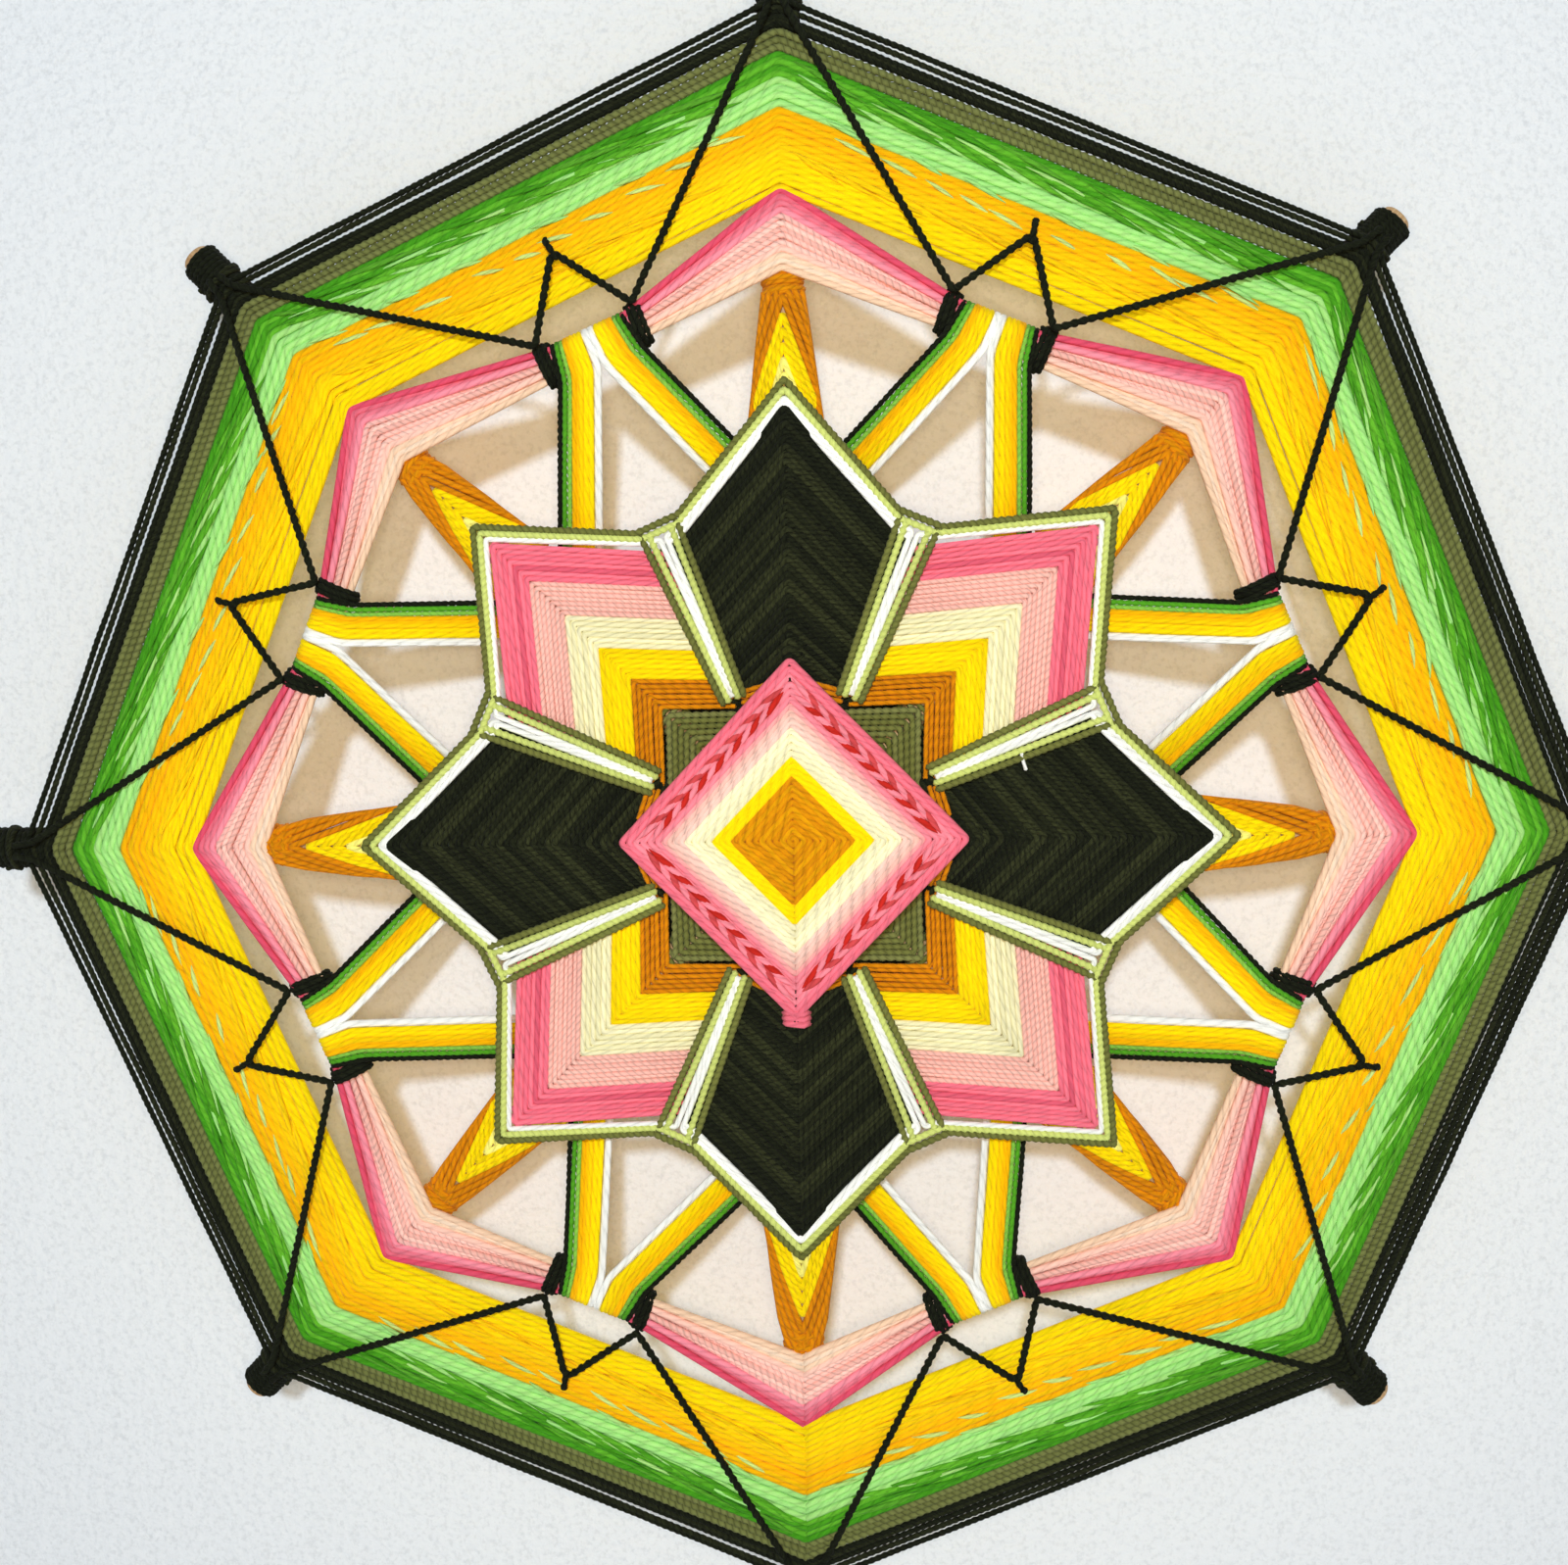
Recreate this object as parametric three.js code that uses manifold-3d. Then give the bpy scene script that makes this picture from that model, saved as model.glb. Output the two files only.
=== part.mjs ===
// Ojo de dios: an eight-armed yarn mandala wound on two stacked crosses of dowels.
// Millimetres, +Z up. The front faces -Y, and the origin lies behind the hub on the wall it hangs on.
// Each band starts where the one inside it ends, so every size pushes the bands outside it outwards.

import * as THREE from 'three';
import { mergeVertices } from 'three/addons/utils/BufferGeometryUtils.js';
import Module from 'manifold-3d';

// Clearances
const seat = 0.3; // between a yarn and the stick or yarn that it lies on
const crossGap = 0.3; // between the front cross and the back cross
const lapGap = 0.3; // all round a halving joint
const wallGap = 0.5; // between the rearmost yarn and the wall
const endGap = 1.6; // half the break between two bands of one spiral

// Sticks
const stickDiameter = 8;
const stickSides = 20;
const tipReach = 10.2; // stick past the rim
const tipBare = 1.5; // raw wood past the wrapping at a tip
const wrapThickness = 1.3; // yarn wrapped round a stick

// Central diamond on the front cross, and the square behind it on the back cross
const eyeYarn = 1.85;
const eyeGap = 0.52;
const eyeStart = 5.2;
const eyeBands = [
  { name: 'eye_core', loops: 3, colour: 0xb8741b },
  { name: 'eye_yellow', loops: 2, colour: 0xffd21a },
  { name: 'eye_cream', loops: 2, colour: 0xf6e7b4 },
  { name: 'eye_light_pink', loops: 2, colour: 0xf7b3ab },
  { name: 'eye_pink_red', loops: 2, colour: 0xdf5560 },
  { name: 'eye_border', loops: 1, colour: 0xf07f95 },
];
const squareEyeLoops = 5;
const squareEyeLead = 3.2; // its corners stand out past the diamond's

// Star of two interlaced squares
const slotYarn = 1.3; // strand where the two squares pass through each other
const slotSlack = 0.57; // room in a slot past the tightest crossing, in strands with their clearance
const diveSpare = 0.1; // extra depth where a black strand passes the coloured ones
const petalThickness = 1.4;
const petalGap = 0.45; // between the flattened strands of a petal
const starBands = [
  { name: 'star_ochre', loops: 2, colour: 0xc67a22 },
  { name: 'star_yellow', loops: 2, colour: 0xffd21a },
  { name: 'star_cream', loops: 2, colour: 0xf1e8c2 },
  { name: 'star_salmon', loops: 2, colour: 0xf6aaa5 },
  { name: 'star_pink', loops: 2, colour: 0xef6a8a },
];

// Cords that edge the petals and run in along the slots
const edgeYarn = 1.5;
const edgeGap = 0.5;
const laceSpread = 2.4; // from cord to cord where they leave a slot
const laceInset = 3.4; // where the innermost cord turns back, past the first strand of the star
const laceLift = 6.0; // in front of the plane between the crosses
const edgings = [
  { name: 'edging_white', colour: 0xf4f4ef },
  { name: 'edging_light_green', colour: 0xc5d27a },
  { name: 'edging_olive', colour: 0x5f6638 },
];

// Spindles on the arms outside the star
const spindleLength = 23.8;
const spindleCollar = 7;
const spindleHalfWidth = 8.6; // at the star
const spindleSides = 10;

// Rings wound round all eight arms
const ringLead = 1.0; // from a spindle to the ring, which slopes inwards beside the arm
const ringYarn = 2.15;
const ringGap = 0.52;
const pinchedYarn = 1.45;
const pinchColumn = 1.95; // from strand to strand where the straps draw the ring together
const pinchLayer = 2.9; // depth between its two layers there
const pinchPush = 0.6; // how far the straps push its inner strand out
const pinchedBands = [
  { name: 'ring_peach', loops: 2, colour: 0xfbd2a4 },
  { name: 'ring_salmon', loops: 3, colour: 0xf8a9a0 },
  { name: 'ring_pink', loops: 2, colour: 0xf2688a },
];
const ringBands = [
  { name: 'ring_yellow', loops: 3, colour: 0xffdc12 },
  { name: 'ring_orange', loops: 4, colour: 0xffb400 },
  { name: 'ring_light_green', loops: 2, colour: 0x9cee85 },
  { name: 'ring_green', loops: 2, colour: 0x4fae35 },
  { name: 'ring_khaki', loops: 2, colour: 0x7a7d4f },
  { name: 'ring_black', loops: 3, colour: 0x1b1f16 },
];

// Straps that hook the pinched ring and cross behind the star
const strapYarn = 1.6;
const strapGap = 0.8;
const strapLift = 5.3; // extra height where a strap slopes down over the ring
const strapBehind = 3.7; // behind the sticks of the back cross
const strapLevel = 2.05; // depth between straps that cross
const straps = [
  { name: 'strap_white', colour: 0xf4f4ef },
  { name: 'strap_yellow', colour: 0xffc814 },
  { name: 'strap_green', colour: 0x4c9c3c },
  { name: 'strap_black', colour: 0x1b1f16 },
];

// Black lacing cord
const lacingYarn = 2.2;
const lacingInset = 7; // from the rim to where the cord crosses an arm
const lacingRoom = 2.6; // between the outermost strap and the cord beside it
const lacingLean = 1.0; // extra height beside the straps, where the ring slopes
const lacingCatch = 9.4; // its V points, past the inner edge of the yellow ring

const arms = 8;
const halfTurn = Math.PI / arms;
const diagonal = Math.SQRT2;
const strapSkip = 3; // a strap joins every third junction
const strapLevels = arms / 2; // straps that run the opposite way share a level
const backward = new THREE.Vector3(0, 1, 0);
const upward = new THREE.Vector3(0, 0, 1);

const eyePitch = (eyeYarn + eyeGap) * diagonal;
const loopsOf = (bands) => bands.reduce((sum, band) => sum + band.loops, 0);
const eyeCorner = eyeStart + eyePitch * loopsOf(eyeBands);
const squareCorner = eyeCorner + squareEyeLead;

const slotRoom = slotYarn + seat;
const tightest = 2 * diagonal; // strands that cross square on, side by side in a slot
const slotSpread = tightest + slotSlack;
const starPitch = slotSpread * slotRoom;
const petalWidth = starPitch / diagonal - petalGap;
const starStart = squareCorner + (eyeYarn / 2 + petalGap + petalWidth / 2) * diagonal;
const starLoops = loopsOf(starBands);
const starEnd = starStart + starPitch * starLoops;
const diveDepth = slotRoom / Math.sqrt(1 - (tightest / slotSpread) ** 2) + diveSpare;

const edgePitch = (edgeYarn + edgeGap) * diagonal;
const edgeStart = starEnd + (petalWidth / 2 + edgeGap + edgeYarn / 2) * diagonal;
const edgeEnd = edgeStart + edgePitch * (edgings.length - 1) + (edgeYarn / 2) * diagonal;

const spindleStart = edgeEnd + edgeGap;
const ringPitch = (ringYarn + ringGap) / Math.cos(halfTurn);
const ringStart = spindleStart + spindleLength + ringLead + pinchedYarn / 2;
const rimRadius = ringStart + ringPitch * (loopsOf(pinchedBands) + loopsOf(ringBands)) + ringYarn / 2;
const stickHalf = rimRadius + tipReach;
const pinchRadius = ringStart * Math.cos(halfTurn) + pinchPush;
const pinchColumns = Math.ceil(loopsOf(pinchedBands) / 2);
const pinchOuter = pinchRadius + pinchColumn * (pinchColumns - 1) + pinchedYarn / 2;
const hookRadius = pinchOuter + seat + strapYarn / 2;
const pinchedEnd = ringStart + ringPitch * loopsOf(pinchedBands);
const lacingPoint = pinchedEnd * Math.cos(halfTurn) + lacingCatch;

// Depths, from the wall forward
const stickRadius = stickDiameter / 2;
const crossHalf = stickRadius + crossGap / 2;
const strapRear = strapBehind + strapLevel * (strapLevels - 1) + strapYarn / 2;
const middle = -(wallGap + strapRear + stickRadius + crossHalf);
const frontAxis = middle - crossHalf;
const backAxis = middle + crossHalf;
const pinchMiddle = middle - stickRadius - seat - pinchedYarn / 2;

const axisOf = (arm) => (arm % 2 === 0 ? frontAxis : backAxis);
const overArm = (arm, yarn) => axisOf(arm) - stickRadius - seat - yarn / 2;
const underArm = (arm, yarn) => axisOf(arm) + stickRadius + seat + yarn / 2;

// A place on the ray that is `turn` arms round from the bottom arm, moved sideways along the turn.
function place(turn, radius, depth, aside = 0) {
  const angle = -Math.PI / 2 + turn * 2 * halfTurn;
  const x = radius * Math.cos(angle) - aside * Math.sin(angle);
  const z = radius * Math.sin(angle) + aside * Math.cos(angle);
  return new THREE.Vector3(x, depth, z);
}

const hub = new THREE.Vector3();

// How far a point lies to the side of a ray, along the turn.
function sideways(point, turn) {
  const angle = -Math.PI / 2 + turn * 2 * halfTurn;
  return point.z * Math.cos(angle) - point.x * Math.sin(angle);
}

// The point of the line a-b that crosses the line c-d in the front view.
function meet(a, b, c, d) {
  const along = new THREE.Vector3().subVectors(b, a);
  const other = new THREE.Vector3().subVectors(d, c);
  const across = along.x * other.z - along.z * other.x;
  const share = ((c.x - a.x) * other.z - (c.z - a.z) * other.x) / across;
  return a.clone().lerp(b, share);
}

// How far from a stick's axis two tangent strands meet that run on to a point at this side and height.
function ridge(aside, height, yarn) {
  const reach = stickRadius + seat + yarn / 2;
  const lean = Math.asin(reach / Math.hypot(aside, height)) - Math.atan2(height, aside);
  return reach / Math.cos(lean);
}

// Joins rings of points into a closed surface: capped at both ends, or closed on itself.
function skin(rings, closed) {
  const sides = rings[0].length;
  const positions = rings.flat().flatMap((point) => point.toArray());
  const faces = [];
  const spans = closed ? rings.length : rings.length - 1;
  for (let span = 0; span < spans; span += 1) {
    const near = span * sides;
    const far = ((span + 1) % rings.length) * sides;
    for (let side = 0; side < sides; side += 1) {
      const next = (side + 1) % sides;
      faces.push(near + side, near + next, far + side);
      faces.push(near + next, far + next, far + side);
    }
  }
  if (!closed) {
    const last = (rings.length - 1) * sides;
    for (let side = 1; side < sides - 1; side += 1) {
      faces.push(0, side + 1, side);
      faces.push(last, last + side, last + side + 1);
    }
  }
  const geometry = new THREE.BufferGeometry();
  geometry.setAttribute('position', new THREE.Float32BufferAttribute(positions, 3));
  geometry.setIndex(faces);
  geometry.computeVertexNormals();
  return geometry;
}

const heading = (from, to) => new THREE.Vector3().subVectors(to, from).normalize();

// A four-sided strand along a path, mitred at each point, with a width at each point.
function strand(path, widths, thickness) {
  const rings = [];
  const turning = new THREE.Quaternion();
  let side;
  path.forEach((point, index) => {
    const before = index > 0 ? heading(path[index - 1], point) : heading(point, path[1]);
    const after = index < path.length - 1 ? heading(point, path[index + 1]) : before;
    const reference = Math.abs(before.dot(backward)) < 0.9 ? backward : upward;
    side = side ?? new THREE.Vector3().crossVectors(before, reference).normalize();
    const rise = new THREE.Vector3().crossVectors(before, side);
    const mitre = new THREE.Vector3().addVectors(before, after).normalize();
    const half = widths[index] / 2;
    const corners = [[half, 0], [0, thickness / 2], [-half, 0], [0, -thickness / 2]];
    rings.push(corners.map(([across, up]) => {
      const offset = side.clone().multiplyScalar(across).addScaledVector(rise, up);
      const slide = offset.dot(mitre) / before.dot(mitre);
      return offset.addScaledVector(before, -slide).add(point);
    }));
    side.applyQuaternion(turning.setFromUnitVectors(before, after));
  });
  return skin(rings, false);
}

// The least gap between stretches of one strand that are not neighbours, measured on points.
function leastGap(path, widths) {
  const step = 1.5;
  const samples = [];
  let travelled = 0;
  for (let index = 1; index < path.length; index += 1) {
    const length = path[index].distanceTo(path[index - 1]);
    const pieces = Math.ceil(length / step);
    for (let piece = 0; piece < pieces; piece += 1) {
      const share = piece / pieces;
      const point = path[index - 1].clone().lerp(path[index], share);
      const half = THREE.MathUtils.lerp(widths[index - 1], widths[index], share) / 2;
      samples.push({ point, half, along: travelled + length * share });
    }
    travelled += length;
  }
  const apart = 4 * Math.max(...widths);
  let least = Infinity;
  for (let first = 0; first < samples.length; first += 1) {
    for (let second = first + 1; second < samples.length; second += 1) {
      const a = samples[first];
      const b = samples[second];
      if (b.along - a.along < apart) continue;
      least = Math.min(least, a.point.distanceTo(b.point) - a.half - b.half);
    }
  }
  return least;
}

const mandala = new THREE.Group();
mandala.name = 'ojo_de_dios';

function add(name, geometry, colour, roughness = 0.9) {
  const material = new THREE.MeshStandardMaterial({ color: colour, roughness, metalness: 0 });
  const mesh = new THREE.Mesh(geometry, material);
  mesh.name = name;
  mandala.add(mesh);
}

function addWinding(name, path, widths, thickness, colour) {
  add(name, strand(path, widths, thickness), colour);
  console.log(`${name}: least gap to itself ${leastGap(path, widths).toFixed(2)} mm`);
}

function addCord(name, path, yarn, colour) {
  addWinding(name, path, path.map(() => yarn), yarn, colour);
}

// Draws both ends of a path back along its first and last stretch.
function drawBack(path, length) {
  const last = path.length - 1;
  const start = heading(path[0], path[1]).multiplyScalar(length);
  const end = heading(path[last], path[last - 1]).multiplyScalar(length);
  path[0].add(start);
  path[last].add(end);
  return path;
}

// Sticks: each cross is two dowels halved into each other.
const wasm = await Module();
wasm.setup();

function solidOf(geometry) {
  geometry.deleteAttribute('normal');
  geometry.deleteAttribute('uv');
  const merged = mergeVertices(geometry);
  const vertProperties = merged.attributes.position.array;
  const triVerts = new Uint32Array(merged.index.array);
  return new wasm.Manifold(new wasm.Mesh({ numProp: 3, vertProperties, triVerts }));
}

function geometryOf(solid) {
  const mesh = solid.getMesh();
  const geometry = new THREE.BufferGeometry();
  geometry.setAttribute('position', new THREE.BufferAttribute(mesh.vertProperties, 3));
  geometry.setIndex(new THREE.BufferAttribute(mesh.triVerts, 1));
  geometry.computeVertexNormals();
  return geometry;
}

function halvedStick(notchSide) {
  const dowel = new THREE.CylinderGeometry(stickRadius, stickRadius, 2 * stickHalf, stickSides);
  const notch = new THREE.BoxGeometry(2 * stickDiameter, stickDiameter + 2 * lapGap, stickDiameter);
  notch.translate(0, 0, notchSide * (stickRadius - lapGap / 2));
  return geometryOf(solidOf(dowel).subtract(solidOf(notch)));
}

function addCross(names, axis, turn) {
  const upright = halvedStick(-1);
  upright.rotateX(Math.PI / 2);
  const level = halvedStick(1);
  level.rotateX(Math.PI / 2).rotateY(Math.PI / 2);
  [upright, level].forEach((stick, index) => {
    stick.rotateY(turn).translate(0, axis, 0);
    add(names[index], stick, 0xd2ab78, 0.7);
  });
}

addCross(['stick_vertical', 'stick_horizontal'], frontAxis, 0);
addCross(['stick_rising', 'stick_falling'], backAxis, Math.PI / 4);

// A sleeve round an arm, through stations of [radius along the arm, half width, half depth].
function sleeve(arm, stations, sides) {
  const bore = stickRadius + seat;
  const first = stations[0][0];
  const last = stations[stations.length - 1][0];
  const outline = [...stations, [last, bore, bore], [first, bore, bore]];
  const rings = outline.map(([radius, halfWidth, halfDepth]) => (
    Array.from({ length: sides }, (_, index) => {
      const angle = (index / sides) * 2 * Math.PI;
      const depth = axisOf(arm) - halfDepth * Math.sin(angle);
      return place(arm, radius, depth, halfWidth * Math.cos(angle));
    })
  ));
  return skin(rings, true);
}

const wrapRadius = stickRadius + seat + wrapThickness;
for (let arm = 0; arm < arms; arm += 1) {
  const tip = [[rimRadius + seat, wrapRadius, wrapRadius], [stickHalf - tipBare, wrapRadius, wrapRadius]];
  add(`tip_wrap_${arm}`, sleeve(arm, tip, spindleSides), 0x1b1f16);
  const spindle = [
    [spindleStart, spindleHalfWidth, wrapRadius],
    [spindleStart + spindleLength - spindleCollar, wrapRadius, wrapRadius],
    [spindleStart + spindleLength, wrapRadius, wrapRadius],
  ];
  add(`spindle_${arm}`, sleeve(arm, spindle, spindleSides), 0xd08a1e);
}

// Central diamond: a flat square spiral over the four arms of the front cross.
let eyeTurn = 0;
for (const band of eyeBands) {
  const path = [];
  for (let corner = 0; corner <= 4 * band.loops; corner += 1) {
    const turn = eyeTurn + 2 * corner;
    path.push(place(turn, eyeStart + (eyePitch * turn) / arms, overArm(0, eyeYarn)));
  }
  addCord(band.name, drawBack(path, endGap), eyeYarn, band.colour);
  eyeTurn += arms * band.loops;
}

// The corner of a square spiral on the back cross, at an odd number of arms round.
const squareCornerAt = (turn, start, pitch, yarn) => (
  place(turn, start + (pitch * turn) / arms, overArm(turn, yarn))
);

// Where a side of that spiral passes behind an arm of the front cross.
function squarePassAt(turn, start, pitch, yarn) {
  const before = squareCornerAt(turn - 1, start, pitch, yarn);
  const after = squareCornerAt(turn + 1, start, pitch, yarn);
  return meet(before, after, hub, place(turn, 1, 0)).setY(underArm(turn, yarn));
}

// Square eye: over the arms of the back cross and behind those of the front cross.
const squareStart = squareCorner - eyePitch * squareEyeLoops;
const squarePath = [];
for (let turn = 0; turn < arms * squareEyeLoops; turn += 2) {
  squarePath.push(squarePassAt(turn, squareStart, eyePitch, eyeYarn));
  squarePath.push(squareCornerAt(turn + 1, squareStart, eyePitch, eyeYarn));
}
squarePath.push(squarePassAt(arms * squareEyeLoops, squareStart, eyePitch, eyeYarn));
addCord('square_eye', squarePath, eyeYarn, 0x5d6338);

// Coloured square of the star, wound like the square eye, with its strands drawn thin at the slots.
const colourCorner = (turn) => squareCornerAt(turn, starStart, starPitch, slotYarn);
const colourPass = (turn) => squarePassAt(turn, starStart, starPitch, slotYarn);
let starTurn = 0;
for (const band of starBands) {
  const path = [];
  const widths = [];
  for (let turn = starTurn; turn < starTurn + arms * band.loops; turn += 2) {
    const pass = colourPass(turn);
    const corner = colourCorner(turn + 1);
    const inSlot = meet(pass, corner, hub, place(turn + 0.5, 1, 0));
    const outSlot = meet(corner, colourPass(turn + 2), hub, place(turn + 1.5, 1, 0));
    path.push(pass, inSlot, corner, outSlot);
    widths.push(slotYarn, slotYarn, petalWidth, slotYarn);
  }
  path.push(colourPass(starTurn + arms * band.loops));
  widths.push(slotYarn);
  addWinding(band.name, drawBack(path, endGap), widths, slotYarn, band.colour);
  starTurn += arms * band.loops;
}

// Black square of the star: over the front cross, down through each slot and behind the back cross.
const blackCorner = (turn) => place(turn, starStart + starPitch * (turn / arms - 0.5), 0);
const blackPath = [];
const blackWidths = [];
const lastTurn = arms * (starLoops + 0.5) + 1;
for (let turn = 1; turn <= lastTurn; turn += 2) {
  const start = blackCorner(turn - 1);
  const end = blackCorner(turn + 1);
  const through = (pass, depth) => (
    meet(start, end, colourCorner(pass - 1), colourCorner(pass + 1)).setY(depth)
  );
  const over = middle - diveDepth;
  const under = middle + diveDepth;
  const sink = through(turn - 1 - arms, under);
  const rise = through(turn + 1 - arms, under);
  const surface = through(turn + 1, over);
  const behind = ridge(Math.abs(sideways(sink, turn)), sink.y - backAxis, petalThickness);
  const pass = meet(start, end, hub, place(turn, 1, 0)).setY(backAxis + behind);
  if (turn > 1) {
    blackPath.push(through(turn - 1, over), sink);
    blackWidths.push(slotYarn, slotYarn);
  }
  blackPath.push(pass);
  blackWidths.push(slotYarn);
  if (turn < lastTurn) {
    const above = ridge(Math.abs(sideways(surface, turn + 1)), frontAxis - surface.y, petalThickness);
    blackPath.push(rise, surface, end.setY(frontAxis - above));
    blackWidths.push(slotYarn, slotYarn, petalWidth);
  }
}
addWinding('star_black', blackPath, blackWidths, petalThickness, 0x1b1f16);

// Edging cords: round every petal, in along each slot and out again. The cords that lie farther out
// round the petals lie farther forward in the slots, over those that run in between them.
const slotShare = Math.cos(2 * halfTurn) / Math.cos(halfTurn);
edgings.forEach((edging, index) => {
  const tip = edgeStart + edgePitch * index;
  const laceFront = middle - laceLift - (edgeYarn + edgeGap) * index;
  const outer = laceSpread * (index + 0.5);
  const inner = (edgeYarn + edgeGap) * (index + 0.5);
  const notch = tip * slotShare + outer * Math.tan(halfTurn);
  const bend = starStart * slotShare + laceInset - (edgeYarn + edgeGap) * index;
  const path = [];
  for (let arm = 0; arm < arms; arm += 1) {
    const slot = arm + 0.5;
    path.push(place(arm, tip, overArm(arm, edgeYarn)));
    path.push(place(slot, notch, laceFront, -outer), place(slot, bend, laceFront, -inner));
    path.push(place(slot, bend, laceFront, inner), place(slot, notch, laceFront, outer));
  }
  path.push(path[0].clone());
  addCord(edging.name, drawBack(path, endGap), edgeYarn, edging.colour);
});

// Pinched ring: straight from arm to arm, but drawn together in two layers between the arms.
let ringTurn = 0;
const ringRadius = (turn) => ringStart + (ringPitch * turn) / arms;
for (const band of pinchedBands) {
  const path = [];
  for (let turn = ringTurn; turn <= ringTurn + arms * band.loops; turn += 0.5) {
    const loop = Math.floor(turn / arms);
    const column = pinchRadius + pinchColumn * Math.floor(loop / 2);
    const layer = pinchMiddle + (loop % 2 === 0 ? pinchLayer : -pinchLayer) / 2;
    const onArm = Number.isInteger(turn);
    path.push(onArm ? place(turn, ringRadius(turn), overArm(turn, pinchedYarn)) : place(turn, column, layer));
  }
  addCord(band.name, drawBack(path, endGap), pinchedYarn, band.colour);
  ringTurn += arms * band.loops;
}

// Outer rings: straight from arm to arm.
for (const band of ringBands) {
  const path = [];
  for (let turn = ringTurn; turn <= ringTurn + arms * band.loops; turn += 1) {
    path.push(place(turn, ringRadius(turn), overArm(turn, ringYarn)));
  }
  addCord(band.name, drawBack(path, endGap), ringYarn, band.colour);
  ringTurn += arms * band.loops;
}

// Straps: each hooks over the pinched ring between two arms and crosses behind the star to the third
// junction on. Straps of one direction share a level, so that those that cross pass each other.
const strapPitch = strapYarn + strapGap;
const strapSide = (index) => (strapPitch * (index + 0.5)) / Math.cos(halfTurn);
const pinchSlope = (pinchedEnd * Math.cos(halfTurn) - pinchOuter) / (pinchedEnd * Math.sin(halfTurn));
const strapHook = (index) => hookRadius + strapSide(index) * pinchSlope;
const strapReach = (index) => strapHook(index) * Math.sin(halfTurn) + strapPitch * (index + 0.5);
const strapFlat = strapReach(straps.length - 1) + strapYarn;
const pinchFace = pinchLayer / 2 + pinchedYarn / 2 + seat;
straps.forEach((strap, index) => {
  const aside = strapSide(index);
  const hook = strapHook(index);
  const front = pinchMiddle - pinchFace - strapYarn / 2 - strapLift;
  const back = pinchMiddle + pinchFace + strapYarn / 2 + strapLevel * index;
  const path = [place(0.5, hook, back, aside)];
  for (let run = 0; run < arms; run += 1) {
    const from = (strapSkip * run) % arms;
    const to = from + strapSkip;
    const level = backAxis + stickRadius + strapBehind + strapLevel * (from % strapLevels);
    const foot = (from + to + 1) / 2;
    path.push(place(from + 0.5, hook, front, aside));
    path.push(place(foot, strapReach(index), level, -strapFlat));
    path.push(place(foot, strapReach(index), level, strapFlat));
    path.push(place(to + 0.5, hook, front, -aside), place(to + 0.5, hook, back, -aside));
    if (run < arms - 1) path.push(place(to + 0.5, hook, back, aside));
  }
  addCord(strap.name, path, strapYarn, strap.colour);
});

// Lacing cord: over each arm at the rim, in to both sides of each junction and up to a V between them.
const lacingSide = strapSide(straps.length - 1) + strapYarn / 2 + lacingRoom + lacingYarn / 2;
const overRing = stickRadius + seat + ringYarn + seat + lacingYarn / 2;
const besidePinch = pinchMiddle - pinchFace - lacingYarn / 2 - lacingLean;
const lacingPath = [];
for (let arm = 0; arm < arms; arm += 1) {
  lacingPath.push(place(arm, rimRadius - lacingInset, axisOf(arm) - overRing));
  lacingPath.push(place(arm + 0.5, hookRadius, besidePinch, -lacingSide));
  lacingPath.push(place(arm + 0.5, lacingPoint, middle - overRing));
  lacingPath.push(place(arm + 0.5, hookRadius, besidePinch, lacingSide));
}
lacingPath.push(lacingPath[0].clone());
addCord('lacing_cord', drawBack(lacingPath, endGap), lacingYarn, 0x161a12);

export default mandala;
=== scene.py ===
from math import ceil, cos, pi, radians, sin, sqrt, tan

import bmesh
import bpy
import numpy as np
from mathutils import Matrix, Vector


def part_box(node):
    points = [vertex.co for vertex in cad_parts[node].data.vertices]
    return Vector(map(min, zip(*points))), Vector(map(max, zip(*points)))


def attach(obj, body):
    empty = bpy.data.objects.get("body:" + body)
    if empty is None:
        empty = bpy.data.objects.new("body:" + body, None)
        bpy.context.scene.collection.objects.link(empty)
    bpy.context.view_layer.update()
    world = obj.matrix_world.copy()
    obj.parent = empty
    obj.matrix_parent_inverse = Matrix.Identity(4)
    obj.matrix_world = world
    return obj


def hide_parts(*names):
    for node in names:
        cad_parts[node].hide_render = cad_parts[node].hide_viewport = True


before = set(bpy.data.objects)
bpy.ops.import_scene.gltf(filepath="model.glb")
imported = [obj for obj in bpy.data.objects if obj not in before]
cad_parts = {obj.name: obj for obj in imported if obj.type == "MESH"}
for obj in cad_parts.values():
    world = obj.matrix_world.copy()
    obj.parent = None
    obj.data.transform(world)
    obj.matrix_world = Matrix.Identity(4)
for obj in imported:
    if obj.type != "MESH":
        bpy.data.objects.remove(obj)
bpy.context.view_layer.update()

# Sizes are in millimetres here, and become metres when a mesh is made.
MM = 0.001
TINY = 1e-6
FULL_TURN = 2 * pi
ARMS = 8
ARM_STEP = 360.0 / ARMS
LOWEST_ARM = -90.0
HALF_STEP = radians(ARM_STEP / 2)
FRONT_ARMS, BACK_ARMS = range(0, ARMS, 2), range(1, ARMS, 2)
HANDS = (-1.0, 1.0)
DEPTH, HEIGHT = 1, 2


def node_span(node, side):
    """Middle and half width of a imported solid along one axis."""
    low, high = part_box(node)
    return (low[side] + high[side]) / 2 / MM, (high[side] - low[side]) / 2 / MM


FRONT_AXIS = node_span("stick_vertical", DEPTH)[0]
BACK_AXIS, STICK = node_span("stick_rising", DEPTH)
REACH = node_span("stick_vertical", HEIGHT)[1]
MIDDLE = (FRONT_AXIS + BACK_AXIS) / 2

# Room between a strand and what it lies on, and how much more a slack one has at most
CLEAR, SLACK = 0.1, 0.3
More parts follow.
